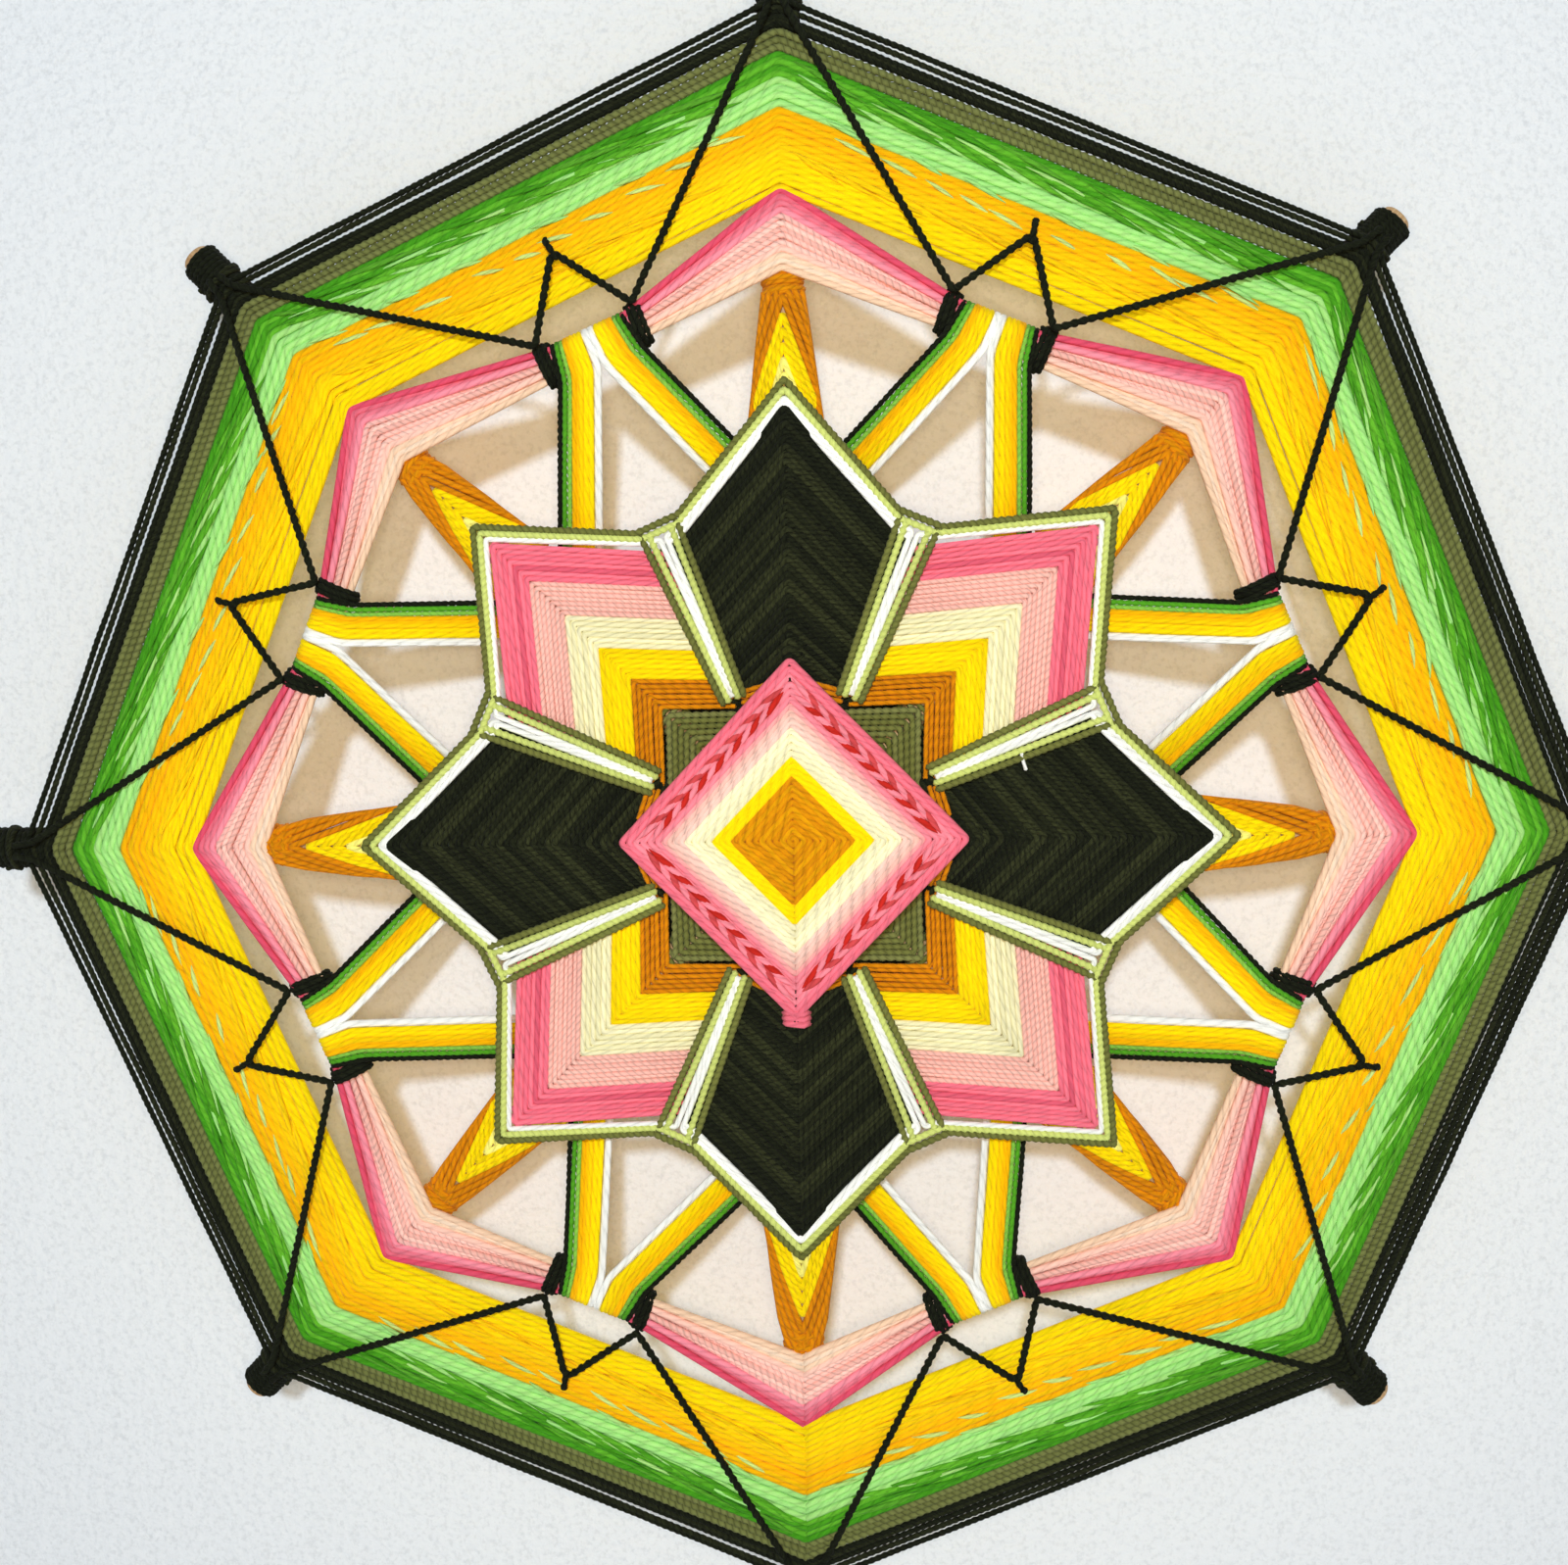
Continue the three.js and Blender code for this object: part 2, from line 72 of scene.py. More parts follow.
# Half widths of the edging cords and of the lacing cord
CORD, LACE = 1.1, 1.1
# How far out of true the hand-wound rings sit on each arm, from the lowest arm round by the right
UNEVEN = (-3.2, 0.4, -3.4, 2.4, 2.4, -0.2, -2.8, 1.4)
# How far each junction is out of true, outwards and sideways, from the one after the lowest arm round
JUNCTION_OUT = (-3.3, -1.7, -1.9, 3.2, 1.0, -1.0, -1.0, -0.8)
JUNCTION_ASIDE = (-3.2, 0.4, -0.5, 0.0, -4.0, -3.4, -2.5, -3.8)
# The longest share of a leg that a rounded bend takes up, and the points of its curve
LONGEST_LEAD = 0.45
BEND_PARTS = (0.0, 0.35, 0.65, 1.0)


# Places on the eight arms

def place(turn, radius, depth, aside=0.0):
    """A point by arm number, counted from the bottom, distance from the hub, depth and sideways step."""
    angle = radians(ARM_STEP * turn + LOWEST_ARM)
    along, across = cos(angle), sin(angle)
    return np.array((radius * along - aside * across, depth, radius * across + aside * along))


def at_junction(number, radius, depth, aside):
    """A point near the junction that follows the numbered arm."""
    spot = number % ARMS
    return place(number + 0.5, radius + JUNCTION_OUT[spot], depth, aside + JUNCTION_ASIDE[spot])


def axis(arm):
    """Depth of the stick that an arm belongs to."""
    return FRONT_AXIS if arm % 2 == 0 else BACK_AXIS


def over(arm, size, lift=CLEAR):
    """Depth of a strand that lies across the front of an arm."""
    return axis(arm) - STICK - size - lift


def under(arm, size):
    """Depth of a strand that lies across the back of an arm."""
    return axis(arm) + STICK + size + CLEAR


def rim_radius(arm, radius):
    """The hand-wound rings sit a little farther in on some arms than on others."""
    return radius + UNEVEN[arm % ARMS]


def hoop(arm, radius, size, start, end, drift=0.0, gap=CLEAR, count=13):
    """Turns of yarn round a stick; angles are in degrees from the back of the stick."""
    reach = STICK + size + gap
    rows = []
    for part in np.linspace(0.0, 1.0, count):
        angle = radians(start + (end - start) * part)
        rows.append(place(arm, radius + drift * part, axis(arm) + reach * cos(angle), reach * sin(angle)))
    return np.array(rows)


def eased(points, reach=1.2):
    """Round each bend of a path."""
    points = np.asarray(points, float)
    rows = [points[0]]
    for before, bend, after in zip(points[:-2], points[1:-1], points[2:]):
        leads = []
        for near in (before, after):
            step = near - bend
            leads.append(step * min(LONGEST_LEAD, reach / max(np.linalg.norm(step), TINY)))
        for part in BEND_PARTS:
            rows.append(bend + leads[0] * (1 - part) ** 2 + leads[1] * part ** 2)
    rows.append(points[-1])
    return np.array(rows)


def varied(random, least, more):
    """A random measure from least to least + more."""
    return least + more * random.random()


# Node helpers

def sockets(tree, way, **kinds):
    """Give a tree its inputs or outputs."""
    for label, kind in kinds.items():
        tree.interface.new_socket(label, in_out=way, socket_type="NodeSocket" + kind)


def add(tree, kind, fill=None, **settings):
    """Add a node, set it up, and fill its inputs with values or outputs; a bare kind is a shader node's."""
    made = tree.nodes.new(kind if kind.startswith("Geometry") else "ShaderNode" + kind)
    for key, value in settings.items():
        setattr(made, key, value)
    for key, value in (fill or {}).items():
        if isinstance(value, bpy.types.NodeSocket):
            tree.links.new(value, made.inputs[key])
        else:
            made.inputs[key].default_value = value
    return made


def out(tree, kind, fill=None, **settings):
    """Add a node as above, and give its first output."""
    return add(tree, kind, fill, **settings).outputs[0]


def maths(tree, operation, *values):
    """The result of one sum on values or outputs."""
    return out(tree, "Math", dict(enumerate(values)), operation=operation)


def product(tree, first, *others):
    """The product of two or more values or outputs."""
    for value in others:
        first = maths(tree, "MULTIPLY", first, value)
    return first


def scaled(tree, vector, factor):
    """A vector or colour times a factor."""
    return out(tree, "VectorMath", {0: vector, "Scale": factor}, operation="SCALE")


def captured(tree, geometry, value, label):
    """Geometry that carries a value along with it, and the value."""
    keep = tree.nodes.new("GeometryNodeCaptureAttribute")
    keep.capture_items.new("FLOAT", label)
    tree.links.new(geometry, keep.inputs[0])
    tree.links.new(value, keep.inputs[1])
    return keep.outputs[:2]


def noise(tree, vector, scale, detail, roughness=0.5):
    """The value of a noise."""
    settings = {"Vector": vector, "Scale": scale, "Detail": detail, "Roughness": roughness}
    return add(tree, "TexNoise", settings).outputs["Fac"]


def linear(code):
    """A screen colour in the renderer's linear values."""
    parts = [int(code[i:i + 2], 16) / 255 for i in (1, 3, 5)]
    return [p / 12.92 if p <= 0.04045 else ((p + 0.055) / 1.055) ** 2.4 for p in parts] + [1.0]


def ramp_colour(tree, value, stops):
    """The colour at a value, between stops of a position and a screen colour."""
    ramp = add(tree, "ValToRGB", {0: value})
    elements = ramp.color_ramp.elements
    for index, (position, code) in enumerate(stops):
        between = 0 < index < len(stops) - 1
        stop = elements.new(position) if between else elements[0 if index == 0 else -1]
        stop.position = position
        stop.color = linear(code)
    return ramp.outputs[0]


def linked(name, data):
    """A new object in the scene."""
    made = bpy.data.objects.new(name, data)
    bpy.context.collection.objects.link(made)
    return made


def empty_material(name):
    """A new material and its empty tree."""
    material = bpy.data.materials.new(name)
    material.use_nodes = True
    material.node_tree.nodes.clear()
    return material, material.node_tree


# Yarn: a tree that sweeps twisted strands along paths

PLIES = 2
# How far apart two strands are in the noise that sways them, and how fine that noise is
STRAND_APART, SWAY_FINE = 5.3, 48.0
# Lengths along a strand are charted in centimetres.
CHART_SCALE = 100.0
MERGE_REACH = 2e-6


def yarn_sweep_tree():
    """Chains of edges go in, and twisted yarn comes out."""
    tree = bpy.data.node_groups.new("yarn_sweep", "GeometryNodeTree")
    sockets(tree, "INPUT", Strands="Geometry", Sides="Int", Plies="Int", Relief="Float", Lay="Float",
            Twist="Float", Sway="Float", Yarn="Material")
    sockets(tree, "OUTPUT", Yarn="Geometry")
    given = tree.nodes.new("NodeGroupInput").outputs

    # Each strand wanders a little, on its own.
    curve = out(tree, "GeometryNodeMeshToCurve", {"Mesh": given["Strands"]})
    strand = out(tree, "GeometryNodeInputNamedAttribute", {"Name": "strand"})
    here = out(tree, "GeometryNodeInputPosition")
    drift = {"Vector": here, "W": product(tree, strand, STRAND_APART), "Scale": SWAY_FINE, "Detail": 1.0}
    drift = add(tree, "TexNoise", drift, noise_dimensions="4D").outputs["Color"]
    drift = out(tree, "VectorMath", {0: drift, 1: (0.5, 0.5, 0.5)}, operation="SUBTRACT")
    drift = scaled(tree, drift, product(tree, given["Sway"], 2.0))
    curve = out(tree, "GeometryNodeSetPosition", {"Geometry": curve, "Offset": drift})

    # The plies turn round the strand as it runs.
    length = add(tree, "GeometryNodeSplineParameter").outputs["Length"]
    tilt = product(tree, length, given["Lay"], FULL_TURN, given["Twist"])
    curve = out(tree, "GeometryNodeSetCurveTilt", {"Curve": curve, "Tilt": tilt})
    curve, along = captured(tree, curve, length, "along")

    # The section has one lobe for each ply.
    arc = out(tree, "GeometryNodeCurveArc",
              {"Resolution": maths(tree, "ADD", given["Sides"], 1.0), "Radius": 1.0, "Start Angle": 0.0,
               "Sweep Angle": FULL_TURN}, mode="RADIUS")
    factor = add(tree, "GeometryNodeSplineParameter").outputs["Factor"]
    arc, around = captured(tree, arc, factor, "around")
    lobe = maths(tree, "COSINE", product(tree, around, given["Plies"], FULL_TURN))
    dip = product(tree, maths(tree, "MULTIPLY_ADD", lobe, -0.5, 0.5), given["Relief"])
    section = scaled(tree, here, maths(tree, "SUBTRACT", 1.0, dip))
    profile = out(tree, "GeometryNodeSetPosition", {"Geometry": arc, "Position": section})

    width = out(tree, "GeometryNodeInputNamedAttribute", {"Name": "width"})
    mesh = out(tree, "GeometryNodeCurveToMesh", {"Curve": curve, "Profile Curve": profile, "Scale": width})
    # Yarn that isn't twisted in its shape is twisted in its chart.
    phase = product(tree, along, given["Lay"], maths(tree, "SUBTRACT", 1.0, given["Twist"]))
    chart = {0: maths(tree, "ADD", around, phase), 1: product(tree, along, CHART_SCALE)}
    chart = out(tree, "CombineXYZ", chart)
    mesh = out(tree, "GeometryNodeStoreNamedAttribute", {"Geometry": mesh, "Name": "yarn", "Value": chart},
               data_type="FLOAT2", domain="CORNER")
    mesh = out(tree, "GeometryNodeMergeByDistance", {"Geometry": mesh, "Distance": MERGE_REACH})
    mesh = out(tree, "GeometryNodeSetShadeSmooth", {"Geometry": mesh})
    mesh = out(tree, "GeometryNodeRealizeInstances", {"Geometry": mesh})
    mesh = out(tree, "GeometryNodeSetMaterial", {"Geometry": mesh, "Material": given["Yarn"]})
    tree.links.new(mesh, tree.nodes.new("NodeGroupOutput").inputs[0])
    return tree


YARN_SWEEP = yarn_sweep_tree()
SWEEP_INPUT = {item.name: item.identifier for item in YARN_SWEEP.interface.items_tree
               if item.in_out == "INPUT"}
# Least share of its width that a tapered strand keeps, and how far closed ends reach, in half widths
THINNEST = 0.2
END_REACH = 0.6


def beyond(end, before, size):
    """The point past a strand's end where it closes."""
    return end + (end - before) / np.linalg.norm(end - before) * size * END_REACH


class Winding:
    """The strands of one piece, each a path with a width, a colour mix and a tone."""

    def __init__(self, seed, step):
        """Start empty; step is the longest piece that a path is cut into."""
        self.random = np.random.default_rng(seed)
        self.step = step
        self.points = []
        self.edges = []
        self.marks = []
        self.total = 0

    def lay(self, path, size, mix=0.0, taper=0.0):
        """Add one strand; taper is the share of its length over which each end thins out."""
        path = np.asarray(path, float)
        places = [np.zeros(1)]
        for index, length in enumerate(np.linalg.norm(np.diff(path, axis=0), axis=1)):
            parts = max(1, ceil(length / self.step))
            places.append(index + np.arange(1, parts + 1) / parts)
        places = np.concatenate(places)
        order = np.arange(len(path))
        rows = np.column_stack([np.interp(places, order, path[:, side]) for side in range(3)])
        run = np.append(0.0, np.cumsum(np.linalg.norm(np.diff(rows, axis=0), axis=1)))
        thin = np.minimum(run, run[-1] - run) / (max(taper, TINY) * run[-1])
        widths = size * (np.clip(thin, THINNEST, 1.0) if taper else np.ones(len(rows)))
        rows = np.concatenate(([beyond(rows[0], rows[1], size)], rows, [beyond(rows[-1], rows[-2], size)]))
        marks = np.zeros((len(rows), 4))
        marks[1:-1, 0] = widths * MM
        marks[:, 1] = mix
        marks[:, 2] = self.random.random()
        marks[:, 3] = len(self.points)
        numbers = np.arange(self.total, self.total + len(rows))
        self.edges.append(np.column_stack((numbers[:-1], numbers[1:])))
        self.points.append(rows * MM)
        self.marks.append(marks)
        self.total += len(rows)


def spin(winding, name, nodes, slot, pitch, sides=6, relief=0.0, sway=0.1):
    """Turn a winding's strands into one mesh that stands for the named solids."""
    marks = np.concatenate(winding.marks)
    mesh = bpy.data.meshes.new(name)
    mesh.from_pydata(np.concatenate(winding.points).tolist(), np.concatenate(winding.edges).tolist(), [])
    for column, label in enumerate(("width", "mix", "tone", "strand")):
        mesh.attributes.new(label, "FLOAT", "POINT").data.foreach_set("value", marks[:, column].copy())
    piece = linked(name, mesh)
    sweep = piece.modifiers.new("yarn", "NODES")
    sweep.node_group = YARN_SWEEP
    for label, value in (("Sides", sides), ("Plies", PLIES), ("Relief", relief), ("Lay", 1 / (pitch * MM)),
                         ("Twist", 1.0 if relief else 0.0), ("Sway", sway * MM), ("Yarn", FINISH[slot])):
        sweep[SWEEP_INPUT[label]] = value
    shaped = piece.evaluated_get(bpy.context.evaluated_depsgraph_get())
    piece.data = bpy.data.meshes.new_from_object(shaped)
    piece.data.name = name
    piece.modifiers.clear()
    for label in ("width", "strand"):
        piece.data.attributes.remove(piece.data.attributes[label])
    bpy.data.meshes.remove(mesh)
    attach(piece, "root")
    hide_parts(*nodes)


# Finishes

# How fine the fibres are round a strand, along it and from strand to strand
FIBRE_FINE = (9.0, 3.0, 40.0)
RIDGE_POWER = 0.6
# Painted light on a ply, the least painted light, and how far strands and places differ in tone
FULL_LIGHT, LEAST_LIGHT, LIGHT_SPAN = 1.06, 0.05, 0.16


def yarn_surface_group():
    """Twist, fibres, tone and painted shade in the grooves that every yarn shares."""
    tree = bpy.data.node_groups.new("yarn_surface", "ShaderNodeTree")
    sockets(tree, "INPUT", Colour="Color", Plies="Float", Groove="Float", Fleck="Float", Relief="Float")
    sockets(tree, "OUTPUT", Colour="Color", Roughness="Float", Normal="Vector")
    given = tree.nodes.new("NodeGroupInput").outputs
    chart = out(tree, "UVMap", uv_map="yarn")
    split = add(tree, "SeparateXYZ", {0: chart}).outputs
    tone = add(tree, "Attribute", attribute_name="tone").outputs["Fac"]

    # Plies stand up as round ridges, with painted shade darkening the grooves between them.
    wave = maths(tree, "SINE", product(tree, split[0], given["Plies"], pi))
    ridge = maths(tree, "POWER", maths(tree, "ABSOLUTE", wave), RIDGE_POWER)

    # Fibres run along the plies and differ from strand to strand.
    streak = [product(tree, part, fine) for part, fine in zip((split[0], split[1], tone), FIBRE_FINE)]
    streak = out(tree, "CombineXYZ", dict(enumerate(streak)))
    fibre = noise(tree, streak, scale=1.0, detail=3.0, roughness=0.65)
    slow = noise(tree, add(tree, "TexCoord").outputs["Object"], scale=60.0, detail=2.0)
    painted_groove_shade = product(tree, maths(tree, "SUBTRACT", 1.0, ridge), given["Groove"])
    light = maths(tree, "SUBTRACT", FULL_LIGHT, painted_groove_shade)
    # Fibre flecks, strand tone and place move the colour up and down; strong flecks, as on the black yarn,
    # are painted glints of its fuzz.
    for part, span in ((fibre, given["Fleck"]), (tone, LIGHT_SPAN), (slow, LIGHT_SPAN)):
        light = maths(tree, "ADD", light, product(tree, maths(tree, "SUBTRACT", part, 0.5), span))
    light = maths(tree, "MAXIMUM", light, LEAST_LIGHT)
    colour = scaled(tree, given["Colour"], light)
    height = maths(tree, "MULTIPLY_ADD", fibre, 0.8, ridge)
    bump = out(tree, "Bump", {"Strength": 0.9, "Distance": given["Relief"], "Height": height})
    rough = maths(tree, "MULTIPLY_ADD", fibre, 0.2, 0.74)
    result = tree.nodes.new("NodeGroupOutput")
    for index, value in enumerate((colour, rough, bump)):
        tree.links.new(value, result.inputs[index])
    return tree


YARN_SURFACE = yarn_surface_group()
FINISH = {}


def yarn_finish(slot, colours, groove_shade=0.15, fleck_and_glint=0.5, relief=0.2, sheen=0.04):
    """Make a slot's finish, where a strand's mix runs through the colours, and give the slot's name."""
    FINISH[slot], tree = empty_material(slot)
    mix = add(tree, "Attribute", attribute_name="mix").outputs["Fac"]
    stops = [(index / (len(colours) - 1), code) for index, code in enumerate(colours)]
    fill = {"Colour": ramp_colour(tree, mix, stops), "Plies": PLIES, "Groove": groove_shade, "Fleck": fleck_and_glint,
            "Relief": relief * MM}
    colour, rough, normal = add(tree, "Group", fill, node_tree=YARN_SURFACE).outputs
    shader = out(tree, "BsdfPrincipled",
                 {"Base Color": colour, "Roughness": rough, "Normal": normal, "Sheen Weight": sheen,
                  "Sheen Roughness": 0.5, "Specular IOR Level": 0.08})
    add(tree, "OutputMaterial", {0: shader})
    return slot


# The black yarn's strong flecks are partly painted highlights: bright glints of its fuzz.
BLACK = yarn_finish("yarn_black", ("#191c10", "#45482a"), groove_shade=0.5, fleck_and_glint=3.4, relief=0.3, sheen=0.02)
OCHRE = yarn_finish("yarn_ochre", ("#dc8606", "#ffda02", "#fff27a"), groove_shade=0.3, fleck_and_glint=0.8)
YELLOW = yarn_finish("yarn_yellow", ("#fedc02", "#feba02", "#fee84a"))
CREAM = yarn_finish("yarn_cream", ("#efe6b6", "#f8efc6", "#faf0c2"), groove_shade=0.2)
SALMON = yarn_finish("yarn_salmon", ("#fcbcae", "#fdcfc0", "#fa9c9e"), groove_shade=0.3)
PINK = yarn_finish("yarn_pink", ("#f67a8c", "#dc4864", "#fa98a6"), groove_shade=0.2)
RED = yarn_finish("yarn_red", ("#f78a98", "#c8281f"), groove_shade=0.2)
WHITE = yarn_finish("yarn_white", ("#f6f4ee", "#efece2"), fleck_and_glint=0.15)
LIGHT_GREEN = yarn_finish("yarn_light_green", ("#a8e682", "#cdd676", "#d2e884"), groove_shade=0.25)
OLIVE = yarn_finish("yarn_olive", ("#6c6e30", "#92945a"), groove_shade=0.5, fleck_and_glint=0.6)
PEACH = yarn_finish("yarn_peach", ("#fcd2b0", "#fee4cc", "#fcc6b4"))
ORANGE = yarn_finish("yarn_orange", ("#feb804", "#fed006", "#fea802"))
GREEN = yarn_finish("yarn_green", ("#66b42c", "#45941a", "#92cc50"), groove_shade=0.25, fleck_and_glint=0.9)
KHAKI = yarn_finish("yarn_khaki", ("#7c8048", "#5e6230"), groove_shade=0.6, fleck_and_glint=0.5)

# How fine the wood's grain is round the stick and along it
GRAIN_FINE = (26.0, 0.35)


def wood_finish():
    """Pale raw dowel, with grain along it and rings on the sawn ends."""
    material, tree = empty_material("raw_wood")
    chart = out(tree, "UVMap", uv_map="grain")
    split = add(tree, "SeparateXYZ", {0: chart}).outputs
    stretched = [product(tree, part, fine) for part, fine in zip(split, GRAIN_FINE)]
    stretched = out(tree, "CombineXYZ", dict(enumerate(stretched)))
    grain = noise(tree, stretched, scale=1.0, detail=4.0, roughness=0.65)
    colour = ramp_colour(tree, grain, ((0.3, "#a97a48"), (0.7, "#dcb98a")))
    bump = out(tree, "Bump", {"Strength": 0.5, "Distance": 0.15 * MM, "Height": grain})
    shader = out(tree, "BsdfPrincipled",
                 {"Base Color": colour, "Roughness": maths(tree, "MULTIPLY_ADD", grain, 0.25, 0.55),
                  "Normal": bump})
    add(tree, "OutputMaterial", {0: shader})
    return material


WOOD = wood_finish()


# Sticks

# A sawn end, as steps in from the end and radii, and where the full width begins
END_PROFILE = ((0.0, 0.0), (0.0, 1.6), (0.05, 3.5), (0.5, 3.95))
SHOULDER = 2.0
DOWEL_SIDES, DOWEL_ROWS = 36, 60
GRAIN_LENGTH = 10
POLE_MERGE = 1e-7


def dowel(name, arm):
    """A round stick, sawn off square with a slightly broken edge."""
    rings = [(-REACH + inset, radius) for inset, radius in END_PROFILE]
    rings += [(reach, STICK) for reach in np.linspace(-REACH + SHOULDER, REACH - SHOULDER, DOWEL_ROWS)]
    rings += [(REACH - inset, radius) for inset, radius in END_PROFILE[::-1]]
    points = []
    chart = []
    for reach, radius in rings:
        for step in range(DOWEL_SIDES):
            angle = FULL_TURN * step / DOWEL_SIDES
            points.append(place(arm, reach, axis(arm) + radius * cos(angle), radius * sin(angle)) * MM)
            chart.append((step / DOWEL_SIDES, reach / GRAIN_LENGTH + radius))
    faces = []
    for row in range(0, (len(rings) - 1) * DOWEL_SIDES, DOWEL_SIDES):
        above = row + DOWEL_SIDES
        for step in range(DOWEL_SIDES):
            right = (step + 1) % DOWEL_SIDES
            faces.append((row + step, above + step, above + right, row + right))
    mesh = bpy.data.meshes.new(name)
    mesh.from_pydata([tuple(point) for point in points], [], faces)
    layer = mesh.uv_layers.new(name="grain")
    for loop in mesh.loops:
        layer.data[loop.index].uv = chart[loop.vertex_index]
    mesh.polygons.foreach_set("use_smooth", [True] * len(mesh.polygons))
    mesh.materials.append(WOOD)
    mesh.validate()
    # The points that meet at the poles are merged, and every face points outwards.
    work = bmesh.new()
    work.from_mesh(mesh)
    bmesh.ops.remove_doubles(work, verts=work.verts, dist=POLE_MERGE)
    bmesh.ops.recalc_face_normals(work, faces=work.faces)
    work.to_mesh(mesh)
    work.free()
    return linked(name, mesh)


for stick, arm in (("vertical", 0), ("horizontal", 2), ("rising", 3), ("falling", 1)):
    piece = dowel("dowel_" + stick, arm)
    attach(piece, "root")
    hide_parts("stick_" + stick)


# Rings between the rim and the star

# A holding turn, in degrees round its stick, sinks into the strand that it holds.
HOLD_START, HOLD_END, HOLD_GAP = 95, 455, -0.35
# Half width of the yarn under slanting strands, and how far these stand out along their length
BAND_YARN = 1.0
STRAND_PROUD = 0.25
STRAND_RISE = ((0.0, -0.6), (0.2, 0.0), (0.5, 0.2), (0.8, 0.0), (1.0, -0.6))
# Tufts keep off a side's ends, and the strands of one tuft are staggered.
TUFT_MARGIN, TUFT_ROOM, TUFT_SINK = 3.0, 14.0, 0.4
TUFT_SHIFT, TUFT_START_STEP, TUFT_END_STEP = 0.17, 0.9, 0.35
# Where stitches lie along a side, how long they are, and the row that they follow
DASH_SIDE, DASH_ROOM, DASH_EVERY = 182.0, 18.0, 12.5
DASH_SHORTEST, DASH_LONGER = 9.0, 6.0
DASH_ROW, DASH_BOW, DASH_WANDER = 182.4, 3.8, 0.4
# Half width of the bundle that each junction gathers the innermost ring into
BUNDLE_HALF = 7.0


def hold(winding, arm, radius, size, mix):
    """A turn of yarn that holds a strand on its stick and hides the wood between strands."""
    winding.lay(hoop(arm, radius, size, HOLD_START, HOLD_END, gap=HOLD_GAP), size, mix)


def rim_round(winding, middle, size, mix, wander, pinch=None):
    """A round over every arm, with turns that hold it; pinch is its radius and depth at junctions."""
    path = []
    for arm in range(ARMS + 1):
        radius = rim_radius(arm, middle) + winding.random.normal(0.0, wander)
        path.append(place(arm, radius, over(arm, size, varied(winding.random, CLEAR, SLACK))))
        if pinch and arm < ARMS:
            path += [at_junction(arm, *pinch, aside) for aside in (-BUNDLE_HALF, BUNDLE_HALF)]
    winding.lay(eased(path), size, mix)
    for arm in range(ARMS):
        hold(winding, arm, rim_radius(arm, middle), size, mix)


def slanting_strand(winding, ends, parts, radii, size, mix, base):
    """A short strand across the rows of one side, half sunk in strands of the base size; its ends dive."""
    rows = []
    for share, rise in STRAND_RISE:
        part = parts[0] + (parts[1] - parts[0]) * share
        radius = radii[0] + (radii[1] - radii[0]) * share
        lift = 2 * base + STRAND_PROUD + rise - size
        start, end = [place(arm, radius + uneven, over(arm, size, lift)) for arm, uneven in ends]
        rows.append(start + (end - start) * part)
    winding.lay(eased(rows, 3.0), size, mix, taper=0.35)


def rim_side(side):
    """The two arms of a side of the rim, and how far each is out of true."""
    return [(arm, rim_radius(arm, 0.0)) for arm in (side, side + 1)]


def feathered_edge(winding, inner, outer, seed, spacing, reach, size, mixes, cluster):
    """Tufts of slanting strands along the edge of a band, so that two colours run into each other."""
    random = np.random.default_rng(seed)
    length = 2 * inner * sin(HALF_STEP)
    for side in range(ARMS):
        start = TUFT_MARGIN + random.random() * spacing
        while start < length - TUFT_ROOM:
            end = min(start + reach * varied(random, 0.8, 0.4), length - TUFT_MARGIN)
            sink = random.normal(0, TUFT_SINK)
            for strand in range(cluster):
                first = start + strand * TUFT_SHIFT * reach
                radii = (inner + sink + TUFT_START_STEP * strand, outer + TUFT_END_STEP * strand)
                slanting_strand(winding, rim_side(side), (first / length, end / length), radii, size,
                                mixes[random.integers(len(mixes))], BAND_YARN)
            start += spacing * varied(random, 0.8, 0.4)


def dashes(winding, seed):
    """Short stitches over the outer rows of the orange band, in a line that bows inwards."""
    random = np.random.default_rng(seed)
    length = 2 * DASH_SIDE * sin(HALF_STEP)
    for side in range(ARMS):
        start = varied(random, 7.0, 6.0)
        while start < length - DASH_ROOM:
            end = start + DASH_SHORTEST + DASH_LONGER * random.random()
            bow = DASH_BOW * sin(pi * start / length)
            row = DASH_ROW - bow + random.normal(0.0, DASH_WANDER)
            slope = varied(random, 0.7, 0.7)
            slanting_strand(winding, rim_side(side), (start / length, end / length),
                            (row - slope, row + slope), varied(random, 0.5, 0.14), 1.0, BAND_YARN)
            start += DASH_EVERY * varied(random, 0.75, 0.5)


# Solid, piece, radii of the rounds, half width, wander, colour mixes, slot and the sweep's settings
RIM_BANDS = (
    ("ring_yellow", "yellow_ring", np.linspace(164.0, 171.0, 5), 0.93, 0.14,
     (0.0, 0.02, 0.0, 0.1, 0.15), YELLOW, dict(pitch=11.0, sway=0.16)),
    ("ring_orange", "orange_ring", np.linspace(172.6, 182.7, 7), 1.0, 0.14,
     (0.5, 0.45, 0.3, 0.1, 0.0, 0.25, 0.0), ORANGE, dict(pitch=11.0, sway=0.2)),
    ("ring_light_green", "light_green_ring", np.linspace(184.5, 190.0, 4), 1.0, 0.14,
     (0.0, 0.05), LIGHT_GREEN, dict(pitch=9.0, sway=0.2)),
    ("ring_green", "green_ring", np.linspace(191.6, 196.2, 4), 0.98, 0.14,
     (0.05, 0.45, 0.1, 0.5), GREEN, dict(pitch=8.0, sway=0.2)),
    ("ring_khaki", "khaki_ring", np.linspace(197.9, 201.5, 3), 1.12, 0.14,
     (0.0, 0.4, 0.1), KHAKI, dict(sides=8, relief=0.34, pitch=4.2)),
    ("ring_black", "black_rim", (203.1, 204.5, 205.9, 207.8, 209.8), 0.84, 0.3,
     (0.0, 0.15), BLACK, dict(sides=8, relief=0.26, pitch=3.8, sway=0.3)))
